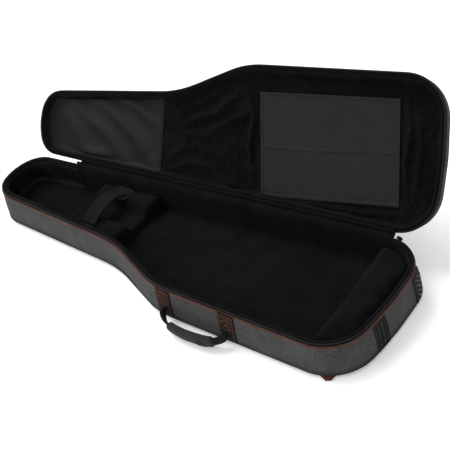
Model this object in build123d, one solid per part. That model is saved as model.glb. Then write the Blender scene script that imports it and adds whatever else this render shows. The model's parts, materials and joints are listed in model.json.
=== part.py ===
"""Padded gig bag for an electric guitar, lying on its back with the lid folded open.

Frame: millimetres, +Z up, X along the bag from head end (-X) to tail end (+X), the hinge along +Y and
the carry handle on -Y. The origin is on the floor, half-way along the bag, on the line of the neck.
The lid is modelled closed on the base and then turned back about the fabric hinge to its open angle.
"""
from build123d import *
from math import atan2, cos, degrees, hypot, radians, sin
import os

# ---- driving dimensions -------------------------------------------------------------------------
HALF = 535.0            # half the bag's length
HEAD_BULGE = 12.0       # how far the head end bows out
TAIL_BULGE = 8.0
HEAD_FRONT = 87.0       # distance of the front side (-Y) from the neck line
NECK_FRONT = 104.0
BODY_FRONT = 174.0
TAIL_FRONT = 170.0
NECK_END = -120.0       # where the front side leaves the neck
BODY_START = 58.0       # where it reaches the body's full width
HEAD_FAR = 67.0         # distance of the hinge side (+Y), which is one straight line
TAIL_FAR = 169.0
R_HEAD_FRONT, R_NECK, R_BODY, R_TAIL_FRONT = 68.0, 300.0, 205.0, 96.0
R_TAIL_END, R_TAIL_FAR, R_HEAD_FAR, R_HEAD_END = 250.0, 91.0, 60.0, 100.0

BASE_HEIGHT = 88.0      # floor to the parting plane of the two zipper halves
LID_DEPTH = 37.0        # parting plane to the outside of the lid
RIM_GAP = 0.6           # half the gap left between the closed rims
OPEN_ANGLE = 127.0      # lid opening in the modelled rest position
HINGE_OFFSET = 4.0      # hinge axis outside the wall
HINGE_START, HINGE_END = -387.0, 448.0   # stretch of the far side that is fabric, not zipper

FABRIC = 1.5            # outer woven fabric
FOAM = 10.0             # padding
PLUSH = 2.5             # lining with its pile
WALL = FABRIC + FOAM + PLUSH
LID_FOAM = 8.0
LID_PLUSH = 2.0
LID_WALL = FABRIC + LID_FOAM + LID_PLUSH
RECESS = 12.0           # depth of the strap recess under the base
TAPE_HEIGHT = 4.0       # zipper tape standing above the piping
COIL = 1.7              # height of one half of the zipper coil
COIL_PROUD = 1.2
PIPING = 4.0
PIPING_PROUD = 2.5
CAP = 2.0               # lining folded over the top of the wall

FLOOR_FOAM_Z = RECESS + FABRIC
FLOOR_PLUSH_Z = FLOOR_FOAM_Z + FOAM
FLOOR_Z = FLOOR_PLUSH_Z + PLUSH
BASE_TOP = BASE_HEIGHT - RIM_GAP
RIM_Z = BASE_TOP - COIL                 # top of the zipper tape
SHELL_TOP = RIM_Z - TAPE_HEIGHT         # top of the outer fabric
LID_RIM_Z = BASE_HEIGHT + RIM_GAP + COIL
LID_TOP = BASE_HEIGHT + LID_DEPTH
LID_SHELL_Z = LID_RIM_Z + TAPE_HEIGHT
LID_FOAM_Z = LID_TOP - FABRIC - FOAM
LID_INNER_Z = LID_FOAM_Z - LID_PLUSH

HINGE_TILT = atan2(TAIL_FAR - HEAD_FAR, 2 * HALF)
ALONG = Vector(cos(HINGE_TILT), sin(HINGE_TILT), 0)
OUTWARD = Vector(-sin(HINGE_TILT), cos(HINGE_TILT), 0)


def far_side(x):
    """Distance of the hinge side from the neck line at a place along the bag."""
    return HEAD_FAR + (TAIL_FAR - HEAD_FAR) * (x + HALF) / (2 * HALF)


HINGE_POINT = Vector(0, far_side(0), BASE_HEIGHT) + OUTWARD * HINGE_OFFSET
HINGE = Axis(HINGE_POINT, ALONG)


# ---- helpers ------------------------------------------------------------------------------------
CORNERS = [     # place of each corner before it is rounded, and its radius
    (-HALF, -HEAD_FRONT, R_HEAD_FRONT), (NECK_END, -NECK_FRONT, R_NECK), (BODY_START, -BODY_FRONT, R_BODY),
    (HALF, -TAIL_FRONT, R_TAIL_FRONT), (HALF + TAIL_BULGE, 0, R_TAIL_END), (HALF, TAIL_FAR, R_TAIL_FAR),
    (-HALF, HEAD_FAR, R_HEAD_FAR), (-HALF - HEAD_BULGE, -5, R_HEAD_END),
]


def inset(depth):
    """Flat face of the bag's outline from above, moved inward by a depth or outward by a negative one."""
    points, radii = [], []
    for i, (x, y, radius) in enumerate(CORNERS):
        here = Vector(x, y)
        before = (here - Vector(*CORNERS[i - 1][:2])).normalized()
        after = (Vector(*CORNERS[(i + 1) % len(CORNERS)][:2]) - here).normalized()
        turn = before.X * after.Y - before.Y * after.X
        inward = Vector(-before.Y - after.Y, before.X + after.X).normalized()
        half_angle = inward.X * -before.Y + inward.Y * before.X
        points.append(here + inward * (depth / half_angle))
        radii.append(radius - depth if turn > 0 else radius + depth)
    return make_face(FilletPolyline(*points, radius=radii, close=True).edges())


OUTLINE = inset(0)


def slab(depth, z0, z1):
    """A plate that fills the inset outline between two heights."""
    return Pos(0, 0, z0) * extrude(inset(depth), amount=z1 - z0, dir=(0, 0, 1))


def ring(outer, inner, z0, z1):
    """A wall between two insets of the outline and two heights."""
    band = Face(inset(outer).face().outer_wire(), [inset(inner).face().outer_wire()])
    return Pos(0, 0, z0) * extrude(band, amount=z1 - z0, dir=(0, 0, 1))


def block(x, y, z):
    """A box from three (low, high) pairs."""
    return Pos(*[(low + high) / 2 for low, high in (x, y, z)]) * Box(*[high - low for low, high in (x, y, z)])


def along_hinge(u0, u1, v0, v1, z0, z1):
    """A box with one side along the hinge line: u along it, v outward from the far wall's surface."""
    place = Plane(origin=Vector(0, far_side(0), 0), x_dir=ALONG, z_dir=(0, 0, 1))
    return place * block((u0 / cos(HINGE_TILT), u1 / cos(HINGE_TILT)), (v0, v1), (z0, z1))


def rounded_pad(x, y, z, corner, edge):
    """A flat pad with rounded corners and softened top and bottom edges."""
    pad = block(x, y, z)
    pad = fillet(pad.edges().filter_by(Axis.Z), corner)
    return fillet(pad.edges().filter_by(Plane.XY), edge) if edge else pad


def hinge_zone():
    """The stretch of the far side where base and lid are joined by fabric."""
    return along_hinge(HINGE_START, HINGE_END, -WALL - 6, 12, -1, LID_TOP + 9)


def fused(*shapes):
    """One solid from touching shapes."""
    whole = shapes[0]
    for shape in shapes[1:]:
        whole = whole + shape
    return whole


def opened(shape):
    """A lid piece turned from the closed to the open position."""
    return shape.rotate(HINGE, -OPEN_ANGLE)


# ---- base tray ----------------------------------------------------------------------------------
def base_parts():
    zone = hinge_zone()
    shell = ring(0, FABRIC, 0, SHELL_TOP)
    under_edge = ring(FABRIC, WALL, 0, FABRIC)
    hinge_band = ring(0, FABRIC, SHELL_TOP, BASE_TOP) & zone
    skirt = ring(FABRIC + FOAM, WALL, FABRIC, RECESS)
    cap = ring(COIL_PROUD + FABRIC, WALL, BASE_TOP - CAP, BASE_TOP)
    return {
        "base_outer_wall": fused(shell, under_edge, hinge_band),
        "base_wall_foam": ring(FABRIC, FABRIC + FOAM, FABRIC, BASE_TOP - CAP),
        "base_wall_lining": fused(ring(FABRIC + FOAM, WALL, FLOOR_Z, BASE_TOP - CAP), cap),
        "base_bottom_panel": fused(slab(FABRIC + FOAM, RECESS, FLOOR_FOAM_Z), skirt),
        "base_floor_foam": slab(FABRIC + FOAM, FLOOR_FOAM_Z, FLOOR_PLUSH_Z),
        "base_floor_lining": slab(FABRIC + FOAM, FLOOR_PLUSH_Z, FLOOR_Z),
        "bottom_piping": ring(-PIPING_PROUD, 0, 5, 5 + PIPING),
        "rim_piping": ring(-PIPING_PROUD, 0, SHELL_TOP - PIPING, SHELL_TOP),
        "base_zipper_tape": ring(0, FABRIC, SHELL_TOP, RIM_Z) - zone,
        "base_zipper_coil": ring(-COIL_PROUD, COIL_PROUD + FABRIC, RIM_Z, BASE_TOP) - zone,
    }


# ---- lid ----------------------------------------------------------------------------------------
def lid_parts():
    zone = hinge_zone()
    low = BASE_HEIGHT + RIM_GAP
    shell = ring(0, FABRIC, LID_SHELL_Z, LID_TOP - FABRIC)
    hinge_band = ring(0, FABRIC, low, LID_SHELL_Z) & zone
    cap = ring(COIL_PROUD + FABRIC, LID_WALL, low, low + CAP)
    lining_wall = ring(FABRIC + LID_FOAM, LID_WALL, low + CAP, LID_INNER_Z)
    closed = {
        "lid_side_wall": fused(shell, hinge_band),
        "lid_wall_foam": ring(FABRIC, FABRIC + LID_FOAM, low + CAP, LID_FOAM_Z),
        "lid_wall_lining": fused(lining_wall, cap),
        "lid_outer_panel": slab(0, LID_TOP - FABRIC, LID_TOP),
        "lid_foam": slab(FABRIC, LID_FOAM_Z, LID_TOP - FABRIC),
        "lid_lining": slab(FABRIC + LID_FOAM, LID_INNER_Z, LID_FOAM_Z),
        "lid_edge_piping": ring(-PIPING_PROUD, 0, LID_TOP - 2 - PIPING, LID_TOP - 2),
        "lid_rim_piping": ring(-PIPING_PROUD, 0, LID_SHELL_Z, LID_SHELL_Z + PIPING),
        "lid_zipper_tape": ring(0, FABRIC, LID_RIM_Z, LID_SHELL_Z) - zone,
        "lid_zipper_coil": ring(-COIL_PROUD, COIL_PROUD + FABRIC, low, LID_RIM_Z) - zone,
    }
    closed.update(lid_guards())
    closed.update(lid_pockets())
    return {name: opened(shape) for name, shape in closed.items()}


HEAD_GUARD_END = -165.0                   # tail end of the guard sheet inside the lid's neck
BRIDGE_GUARD_X = (101.0, 436.0)
BRIDGE_GUARD_Y = (-114.0, 109.0)
GUARD = 1.0                               # nylon guard sheet


def lid_guards():
    sheet = slab(LID_WALL + 0.5, LID_INNER_Z - GUARD, LID_INNER_Z)
    neck_half = block((-HALF - 50, HEAD_GUARD_END), (-250, 250), (0, 200))
    bridge = rounded_pad(BRIDGE_GUARD_X, BRIDGE_GUARD_Y, (LID_INNER_Z - GUARD, LID_INNER_Z), 8, 0)
    return {"lid_head_guard": sheet & neck_half, "lid_bridge_guard": bridge}


BODY_POCKET = ((95.0, 445.0), (-138.0, 118.0), 14.0)    # x, y and depth, on the outside of the lid
NECK_POCKET = ((-360.0, -130.0), (-72.0, 62.0), 10.0)
POCKETS = {"body": BODY_POCKET, "neck": NECK_POCKET}
POCKET_ZIP_INSET = 24.0                   # zipper line from the pocket's front edge
POCKET_ZIP_END = 34.0                     # zipper line from the pocket's two ends
POCKET_TAPE = (22.0, 0.8)                 # width and thickness
POCKET_COIL = (5.0, 1.6)
SLIDER_SIZE = (13.0, 9.0, 4.4)            # length along the coil, width, height
SLIDER_GAP = 0.4
PULL = (34.0, 7.0, 2.0)                   # length, width, thickness
PULL_PIVOT = 4.2                          # pull's pivot from the slider's middle
LIE_ANGLE = 37.0                          # angle of a hanging pull to the outside of the open lid


def pocket_zip_line(kind):
    """Start, end and height of a pocket's zipper."""
    (x0, x1), (y0, _), depth = POCKETS[kind]
    return x0 + POCKET_ZIP_END, x1 - POCKET_ZIP_END, y0 + POCKET_ZIP_INSET, LID_TOP + depth


def lid_pockets():
    parts = {}
    for kind, (x, y, depth) in POCKETS.items():
        parts[kind + "_pocket"] = rounded_pad(x, y, (LID_TOP, LID_TOP + depth), 26, 4.5)
        x0, x1, line, top = pocket_zip_line(kind)
        width, thick = POCKET_TAPE
        coil, tall = POCKET_COIL
        tape = block((x0, x1), (line - width / 2, line + width / 2), (top, top + thick))
        teeth = block((x0 + 4, x1 - 4), (line - coil / 2, line + coil / 2), (top + thick, top + thick + tall))
        parts[kind + "_pocket_tape"] = tape
        parts[kind + "_pocket_coil"] = teeth
    return parts


def pull_tab(length, width, thick):
    """A pull that hangs along -Z from a pivot at its own origin, its axis along X."""
    eye = Rot(0, 90, 0) * Cylinder(thick / 2, width - 2)
    tongue = block((-width / 2 + 1, width / 2 - 1), (-thick / 2, thick / 2), (-10, 0))
    grip = block((-width / 2, width / 2), (-thick / 2, thick / 2), (-length, -10))
    grip = fillet(grip.edges().filter_by(Axis.Y), 2)
    return fused(eye, tongue, grip)


def pocket_slider_parts():
    """Slider and pull for each outside pocket, at the head end of its zipper."""
    parts = {}
    length, width, tall = SLIDER_SIZE
    for kind in POCKETS:
        x0, _, line, top = pocket_zip_line(kind)
        low = top + POCKET_TAPE[1] + POCKET_COIL[1] + SLIDER_GAP
        body = rounded_pad((x0 + 8, x0 + 8 + length), (line - width / 2, line + width / 2), (low, low + tall), 2, 0)
        pivot_z = low + tall + PULL[2] / 2 + SLIDER_GAP
        hang = Rot(90 + LIE_ANGLE, 0, 0) * pull_tab(*PULL)
        parts[kind + "_pocket_slider"] = opened(body)
        parts[kind + "_pocket_pull"] = opened(Pos(x0 + 8 + length / 2, line, pivot_z) * hang)
    return parts


# ---- fabric hinge -------------------------------------------------------------------------------
GUSSET_RADII = (3.4, 2.4)                 # outside and inside of the strip round the hinge line
GUSSET_SWEEP = (40.0, 176.0)              # angles that it covers round the hinge line
GUSSET_END_GAP = 2.0


def hinge_gusset():
    """Woven strip that wraps the hinge from the base's rim to the lid's rim."""
    outer, inner = GUSSET_RADII
    reach = 9.0
    first, last = (Vector(cos(radians(angle)), sin(radians(angle))) * reach for angle in GUSSET_SWEEP)
    wedge = make_face(Polyline((0, 0), first, (6, reach), (-6, reach), last, close=True))
    length = (HINGE_END - HINGE_START) / cos(HINGE_TILT) - 2 * GUSSET_END_GAP
    start = HINGE_POINT + ALONG * ((HINGE_END - GUSSET_END_GAP) / cos(HINGE_TILT))
    strip = extrude((Circle(outer) - Circle(inner)) & wedge, amount=length)
    return Plane(origin=start, x_dir=OUTWARD, z_dir=ALONG * -1) * strip


# ---- inside of the base -------------------------------------------------------------------------
CRADLE_X = (-305.0, -140.0)
CRADLE_TOP = 64.0
NECK_SLOT = (-28.0, 32.0)                 # groove that the instrument's neck lies in
NECK_SLOT_Z = 44.0
CLEAR = 0.3                               # room between soft blocks and the lining


def neck_cradle():
    inner = slab(WALL + CLEAR, FLOOR_Z, CRADLE_TOP)
    body = inner & block(CRADLE_X, (-200, 200), (FLOOR_Z, CRADLE_TOP))
    groove = block((CRADLE_X[0] - 5, CRADLE_X[1] + 5), NECK_SLOT, (NECK_SLOT_Z, CRADLE_TOP + 5))
    groove = fillet(groove.edges().filter_by(Axis.X).group_by(Axis.Z)[0], 10)
    return body - groove


STRAP_X = (-256.0, -216.0)                # neck strap, across the neck
STRAP_NEAR, STRAP_FAR = -66.0, 70.0
STRAP_THICK = 2.4
STRAP_ROOT_Z = CRADLE_TOP + 1.2
STRAP_RISE = 20.0                         # height of the strap's arch over the cradle
LOOP_PATCH = 1.0


def neck_strap():
    """The strap: root on the near side, over the neck, free end flat on the far side."""
    y0, y1, z = STRAP_NEAR, STRAP_FAR, STRAP_ROOT_Z + LOOP_PATCH + 0.3
    mid = (y0 + y1) / 2
    path = [(y0, z + 1.5), (y0 + 14, z + STRAP_RISE * 0.62), (mid - 12, z + STRAP_RISE),
            (mid + 18, z + STRAP_RISE * 0.94), (y1 - 34, z + STRAP_RISE * 0.35), (y1 - 18, z + 1.5), (y1 + 6, z + 1.5)]
    centre = FilletPolyline(*path, radius=[14, 26, 40, 30, 14])
    band = trace(centre, STRAP_THICK)
    section = Plane.YZ * make_face(band.face().outer_wire().edges())
    return Pos(STRAP_X[0], 0, 0) * extrude(section, amount=STRAP_X[1] - STRAP_X[0], dir=(1, 0, 0))


def strap_seats():
    """Sewn root of the neck strap and the loop patch that its free end presses on."""
    z = CRADLE_TOP
    root = block((STRAP_X[0] - 2, STRAP_X[1] + 2), (STRAP_NEAR - 16, STRAP_NEAR - 2), (z, z + 2.4))
    patch = rounded_pad((STRAP_X[0] - 3, STRAP_X[1] + 3), (STRAP_FAR - 38, STRAP_FAR + 4), (z, z + 1.6), 3, 0)
    return {"neck_strap_root": root, "strap_loop_patch": patch}


PAD_INNER_X = 434.0                       # inside edge of the tail pad
PAD_TOP = 76.0


def tail_pad():
    inner = slab(WALL + 4, FLOOR_Z, PAD_TOP) & block((PAD_INNER_X, HALF + 30), (-300, 300), (FLOOR_Z, PAD_TOP))
    return fillet(inner.edges().group_by(Axis.Z)[-1], 9)


HEAD_WALL_GUARD_END = -385.0


def head_wall_guard():
    """Nylon sheet over the lining of the three walls around the headstock."""
    sheet = ring(WALL, WALL + GUARD, FLOOR_Z + 2, RIM_Z - 4)
    return sheet & block((-HALF - 50, HEAD_WALL_GUARD_END), (-250, 250), (0, 200))


# ---- outside of the base ------------------------------------------------------------------------
BUMPER_THICK = 4.0
BUMPER_Z = (10.0, 74.0)
BUMPERS = {"front": (-70.0, -30.0), "far": (78.0, 116.0)}    # places across the tail wall
BUMPER_RIBS = 6


def tail_bumper(kind):
    """Moulded rubber plate on the tail wall, with upright ribs."""
    y0, y1 = BUMPERS[kind]
    z0, z1 = BUMPER_Z
    plate = ring(-BUMPER_THICK + 1.5, 0, z0, z1) & block((HALF - 60, HALF + 40), (y0, y1), (z0, z1))
    pitch = (y1 - y0) / BUMPER_RIBS
    for i in range(BUMPER_RIBS):
        y = y0 + pitch * (i + 0.5)
        rib = ring(-BUMPER_THICK, 0, z0 + 3, z1 - 3) & block(
            (HALF - 60, HALF + 40), (y - pitch * 0.3, y + pitch * 0.3), (z0 + 3, z1 - 3))
        plate = plate + rib
    return plate - bumper_relief()


def bumper_relief():
    """Room for the rim piping behind a bumper."""
    room = 0.3
    return ring(-PIPING_PROUD - room, -0.01, SHELL_TOP - PIPING - room, SHELL_TOP + room)


HANDLE_X = (85.0, 255.0)                  # middles of the two handle tabs
TAB_WIDTH = 38.0
TAB_THICK = 2.6
TAB_Z = (10.0, 77.4)
HANDLE_PIVOT_Z = 31.0
HANDLE_PIVOT_OUT = 5.5                    # handle pivot outside the front wall
HANDLE_REACH = 36.0                       # from the pivot line to the middle of the grip
HANDLE_DROOP = 20.0                       # angle below level at rest
WEBBING = (3.0, 22.0)                     # thickness and width of the loop
FOLD, FOLD_REACH = 2.8, 12.0              # the loop is folded to this width until this far from its pivot
GRIP_X = (120.0, 226.0)
GRIP = (13.0, 25.0)


def front_side(x):
    """Distance of the body's front side from the neck line."""
    return BODY_FRONT + (TAIL_FRONT - BODY_FRONT) * (x - BODY_START) / (HALF - BODY_START)


def handle_tab(x):
    """Webbing tab sewn flat on the front wall."""
    half = TAB_WIDTH / 2
    return ring(-TAB_THICK, 0, *TAB_Z) & block((x - half, x + half), (-BODY_FRONT - 10, -100), TAB_Z)


def handle_pivot():
    x = (HANDLE_X[0] + HANDLE_X[1]) / 2
    return Vector(x, -front_side(x) - HANDLE_PIVOT_OUT, HANDLE_PIVOT_Z)


def handle_parts():
    """Webbing loop and padded grip, made level about the pivot and then drooped."""
    x0, x1 = HANDLE_X
    mid = (x0 + x1) / 2
    reach = HANDLE_REACH
    path = [(x0 - mid, 0), (x0 - mid + 5, -reach * 0.5), (x0 - mid + 34, -reach + 3), (-14, -reach - 1),
            (14, -reach), (x1 - mid - 34, -reach + 3), (x1 - mid - 5, -reach * 0.5), (x1 - mid, 0)]
    centre = FilletPolyline(*path, radius=[24, 26, 90, 90, 26, 24])
    thick, width = WEBBING
    core = extrude(trace(centre, thick), amount=FOLD / 2, both=True)
    band = extrude(trace(centre, thick), amount=width / 2, both=True)
    loop = core + (band & block((-200, 200), (-200, -FOLD_REACH), (-40, 40)))
    g_thick, g_width = GRIP
    sleeve = extrude(trace(centre, g_thick), amount=g_width / 2, both=True)
    sleeve = sleeve & block((GRIP_X[0] - mid, GRIP_X[1] - mid), (-reach - 20, 0), (-40, 40))
    sleeve = sleeve - loop
    pivot = handle_pivot()
    place = Pos(*pivot) * Rot(HANDLE_DROOP, 0, 0)
    return {"handle_webbing": place * loop, "handle_grip": place * sleeve}


ANCHOR_SIZE = (48.0, 15.0, 3.0)           # width at the seam, how far it sticks out, thickness
ANCHORS = {"front": (482.0, -156.0, -58.0), "far": (486.0, 152.0, 54.0)}   # x, y, outward angle


def shoulder_anchor(kind):
    """Triangular tab at a tail corner, where a shoulder strap's lower webbing is sewn in."""
    x, y, angle = ANCHORS[kind]
    width, out, thick = ANCHOR_SIZE
    shape = make_face(Polyline((-20, -width / 2 - 6), (out, -5), (out, 5), (-20, width / 2 + 6), close=True))
    tab = Pos(x, y, 0.2) * Rot(0, 0, angle) * extrude(shape, amount=thick)
    return tab - slab(-0.2, -1, 10)


# ---- shoulder straps stowed under the base -------------------------------------------------------
PAD_START, PAD_END = -70.0, 290.0         # places of the shoulder pads along the bag
PAD_OUT = (60.0, 98.0)                   # their distance from the neck line at those places
PAD_WIDTH, PAD_THICK = 58.0, 9.0
PAD_Z = 1.5
SHOULDER_WEBBING = (25.0, 2.0)
LADDER = (36.0, 34.0, 5.0)


def shoulder_strap(side):
    """Pad, ladder lock and webbing of one shoulder strap; side is -1 for the front, 1 for the far side."""
    start = Vector(PAD_START, side * PAD_OUT[0])
    end = Vector(PAD_END, side * PAD_OUT[1])
    run = (end - start).length
    turn = degrees(atan2(end.Y - start.Y, end.X - start.X))
    place = Pos(start.X, start.Y, 0) * Rot(0, 0, turn)
    pad = rounded_pad((0, run), (-PAD_WIDTH / 2, PAD_WIDTH / 2), (PAD_Z, PAD_Z + PAD_THICK), 24, 3.5)
    lock_x = (run + 1, run + 1 + LADDER[0])
    lock = rounded_pad(lock_x, (-LADDER[1] / 2, LADDER[1] / 2), (PAD_Z + 1, PAD_Z + 1 + LADDER[2]), 3, 0)
    for i in range(2):
        slot_x = lock_x[0] + 8 + 14 * i
        lock = lock - block((slot_x, slot_x + 6), (-SHOULDER_WEBBING[0] / 2 - 1, SHOULDER_WEBBING[0] / 2 + 1), (0, 20))
    tail = start + (end - start).normalized() * (lock_x[1] + 2)
    corner = Vector(HALF - 75, side * 126)
    web_run = hypot(corner.X - tail.X, corner.Y - tail.Y)
    web_turn = degrees(atan2(corner.Y - tail.Y, corner.X - tail.X))
    half = SHOULDER_WEBBING[0] / 2
    web = block((0, web_run), (-half, half), (PAD_Z + 2, PAD_Z + 2 + SHOULDER_WEBBING[1]))
    web = Pos(tail.X, tail.Y, 0) * Rot(0, 0, web_turn) * web
    return {"pad": place * pad, "lock": place * lock, "webbing": web}


def shoulder_parts():
    front, far = shoulder_strap(-1), shoulder_strap(1)
    return {
        "shoulder_pad_front": front["pad"],
        "shoulder_pad_far": far["pad"],
        "shoulder_webbing_front": front["webbing"],
        "shoulder_webbing_far": far["webbing"],
        "ladder_locks": Compound(children=[front["lock"].solid(), far["lock"].solid()]),
        "spine_pad": rounded_pad((-60, 370), (-27, 27), (0, RECESS), 20, 3),
    }


# ---- main zipper sliders -------------------------------------------------------------------------
HEAD_SLIDER_X = -398.0
TAIL_SLIDER_TURN = 14.0                   # how far round the tail corner the second slider is parked
MAIN_SLIDER = (13.0, 3.8, 7.4)            # along the coil, through, tall
SLIDER_TOP = 1.5                          # slider's top above the parting plane
MAIN_PULL = (38.0, 7.0, 2.0)


def main_slider(frame):
    """Slider and hanging pull in a local frame: X along the coil, Y outward from the hinge axis."""
    length, through, tall = MAIN_SLIDER
    body = block((-length / 2, length / 2), (-through / 2, through / 2), (SLIDER_TOP - tall, SLIDER_TOP))
    body = fillet(body.edges().filter_by(Axis.Y), 2)
    pull = Pos(0, 0, SLIDER_TOP - tall - MAIN_PULL[2] / 2 - 0.4) * pull_tab(*MAIN_PULL)
    return frame * body, frame * pull


def tail_corner_centre():
    """Centre of the rounded far corner at the tail."""
    arcs = [e for e in OUTLINE.edges() if e.geom_type == GeomType.CIRCLE and abs(e.radius - R_TAIL_FAR) < 0.5]
    return min(arcs, key=lambda e: -e.center().Y).arc_center


def main_slider_parts():
    x = HEAD_SLIDER_X
    head_origin = Vector(x, far_side(x), BASE_HEIGHT) + OUTWARD * HINGE_OFFSET
    head = Plane(origin=head_origin, x_dir=ALONG, z_dir=(0, 0, 1))
    centre = tail_corner_centre()
    turn = TAIL_SLIDER_TURN
    out = Vector(sin(radians(turn)) * cos(HINGE_TILT) - sin(HINGE_TILT) * cos(radians(turn)),
                 cos(radians(turn)) * cos(HINGE_TILT) + sin(HINGE_TILT) * sin(radians(turn)))
    run = Vector(out.Y, -out.X, 0)
    tail_origin = Vector(centre.X, centre.Y, BASE_HEIGHT) + out * (R_TAIL_FAR + HINGE_OFFSET)
    tail = Plane(origin=tail_origin, x_dir=run, z_dir=(0, 0, 1))
    head_body, head_pull = main_slider(head)
    tail_body, tail_pull = main_slider(tail)
    return {
        "head_slider": head_body, "head_slider_pull": head_pull,
        "tail_slider": tail_body, "tail_slider_pull": tail_pull,
    }


def all_parts():
    parts = {}
    parts.update(base_parts())
    parts.update(lid_parts())
    parts["hinge_gusset"] = hinge_gusset()
    parts["neck_cradle"] = neck_cradle()
    parts["neck_strap"] = neck_strap()
    parts.update(strap_seats())
    parts["tail_pad"] = tail_pad()
    parts["head_wall_guard"] = head_wall_guard()
    for kind in BUMPERS:
        parts["tail_bumper_" + kind] = tail_bumper(kind)
    for name, x in zip(("head", "tail"), HANDLE_X):
        parts["handle_tab_" + name] = handle_tab(x)
    parts.update(handle_parts())
    for kind in ANCHORS:
        parts["shoulder_anchor_" + kind] = shoulder_anchor(kind)
    parts.update(shoulder_parts())
    parts.update(main_slider_parts())
    parts.update(pocket_slider_parts())
    return parts


def main():
    os.makedirs("parts", exist_ok=True)
    for name, shape in all_parts().items():
        export_step(shape, f"parts/{name}.step")


main()
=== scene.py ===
"""Padded gig bag for an electric guitar, open on its back: fabric, padding, seams and trim.

Sizes are in millimetres in the row frame and become metres when a mesh is made. The lid is shaped
closed on the base and then turned back about the fabric hinge.
"""
import json
import logging
import math
from dataclasses import dataclass
from enum import Enum

import bpy
import numpy as np
from mathutils import Matrix, Vector
from mathutils import noise as soft_noise


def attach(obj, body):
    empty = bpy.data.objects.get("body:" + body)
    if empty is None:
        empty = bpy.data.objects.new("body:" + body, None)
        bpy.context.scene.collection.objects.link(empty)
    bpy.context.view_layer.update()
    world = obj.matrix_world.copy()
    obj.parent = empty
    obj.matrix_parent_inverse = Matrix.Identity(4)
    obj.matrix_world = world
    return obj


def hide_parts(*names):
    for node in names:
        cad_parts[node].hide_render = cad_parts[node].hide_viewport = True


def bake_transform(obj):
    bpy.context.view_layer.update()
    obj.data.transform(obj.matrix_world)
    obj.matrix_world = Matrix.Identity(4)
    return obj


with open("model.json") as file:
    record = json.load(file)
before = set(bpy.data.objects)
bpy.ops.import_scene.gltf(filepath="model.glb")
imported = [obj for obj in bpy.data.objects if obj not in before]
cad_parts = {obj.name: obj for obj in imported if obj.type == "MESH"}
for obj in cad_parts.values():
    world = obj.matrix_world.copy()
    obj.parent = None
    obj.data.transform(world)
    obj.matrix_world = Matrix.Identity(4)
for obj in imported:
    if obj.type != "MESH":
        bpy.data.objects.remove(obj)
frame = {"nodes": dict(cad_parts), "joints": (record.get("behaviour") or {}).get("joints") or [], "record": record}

MM = 0.001
LOG = logging.getLogger("gig_bag")
Array = np.ndarray


class Body(Enum):
    """The moving bodies that a piece can ride on."""

    BASE = "base"
    LID = "lid"
    HANDLE = "handle"
    NECK_STRAP = "neck_strap"
    HEAD_SLIDER = "head_slider"
    HEAD_PULL = "head_pull"
    TAIL_SLIDER = "tail_slider"
    TAIL_PULL = "tail_pull"


# ---- shapes -------------------------------------------------------------------------------------
@dataclass
class Loop:
    """A closed line round the bag with its outward normals, anticlockwise from the middle of the hinge."""

    points: Array
    normals: Array
    arc: Array

    def ring(self, profile: Array) -> Array:
        """Carry a profile round the line.

        Args:
            profile: (columns, 2) or (stations, columns, 2) pairs of outward offset and height.

        Returns:
            (stations, columns, 3) points.
        """
        profile = np.broadcast_to(profile, (len(self.points),) + profile.shape[-2:])
        plan = self.points[:, None, :] + self.normals[:, None, :] * profile[:, :, :1]
        return np.concatenate([plan, profile[:, :, 1:]], axis=2)

    def line(self, offset: float, height: float) -> Array:
        """Points of one line round the bag at an offset and a height."""
        return self.ring(np.array([[offset, height]]))[:, 0]

    def patch(self, arcs: Array, profile: Array) -> Array:
        """Carry a profile along a stretch of the line given by distances round it.

        Args:
            arcs: distances round the line.
            profile: (columns, 2) or (arcs, columns, 2) outward offsets and heights.

        Returns:
            (arcs, columns, 3) points.
        """
        whole = self.arc[-1] + self.arc[1]
        run = np.r_[self.arc, whole]
        spots, outs = (np.vstack([v, v[:1]]) for v in (self.points, self.normals))
        plan = np.stack([np.interp(arcs, run, spots[:, k]) for k in (0, 1)], axis=1)
        out = np.stack([np.interp(arcs, run, outs[:, k]) for k in (0, 1)], axis=1)
        return Loop(plan, out, np.asarray(arcs)).ring(profile)

    def front_at(self, x: float) -> float:
        """Distance round the line to a place on the front side."""
        front = np.where(self.points[:, 1] < -60)[0]
        return float(np.interp(x, self.points[front, 0], self.arc[front]))

    def tail_at(self, y: float) -> float:
        """Distance round the line to a place on the tail end."""
        tail = np.where(self.points[:, 0] > 500)[0]
        return float(np.interp(y, self.points[tail, 1], self.arc[tail]))

    def sides(self, inset: float) -> tuple[Array, Array]:
        """Front and far side lines at an inset, each sorted from head to tail."""
        plan = self.points - self.normals * inset
        plan = np.roll(plan, -int(plan[:, 0].argmin()), axis=0)
        tail = int(plan[:, 0].argmax())
        return plan[: tail + 1], np.vstack([plan[tail:], plan[:1]])[::-1]


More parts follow.
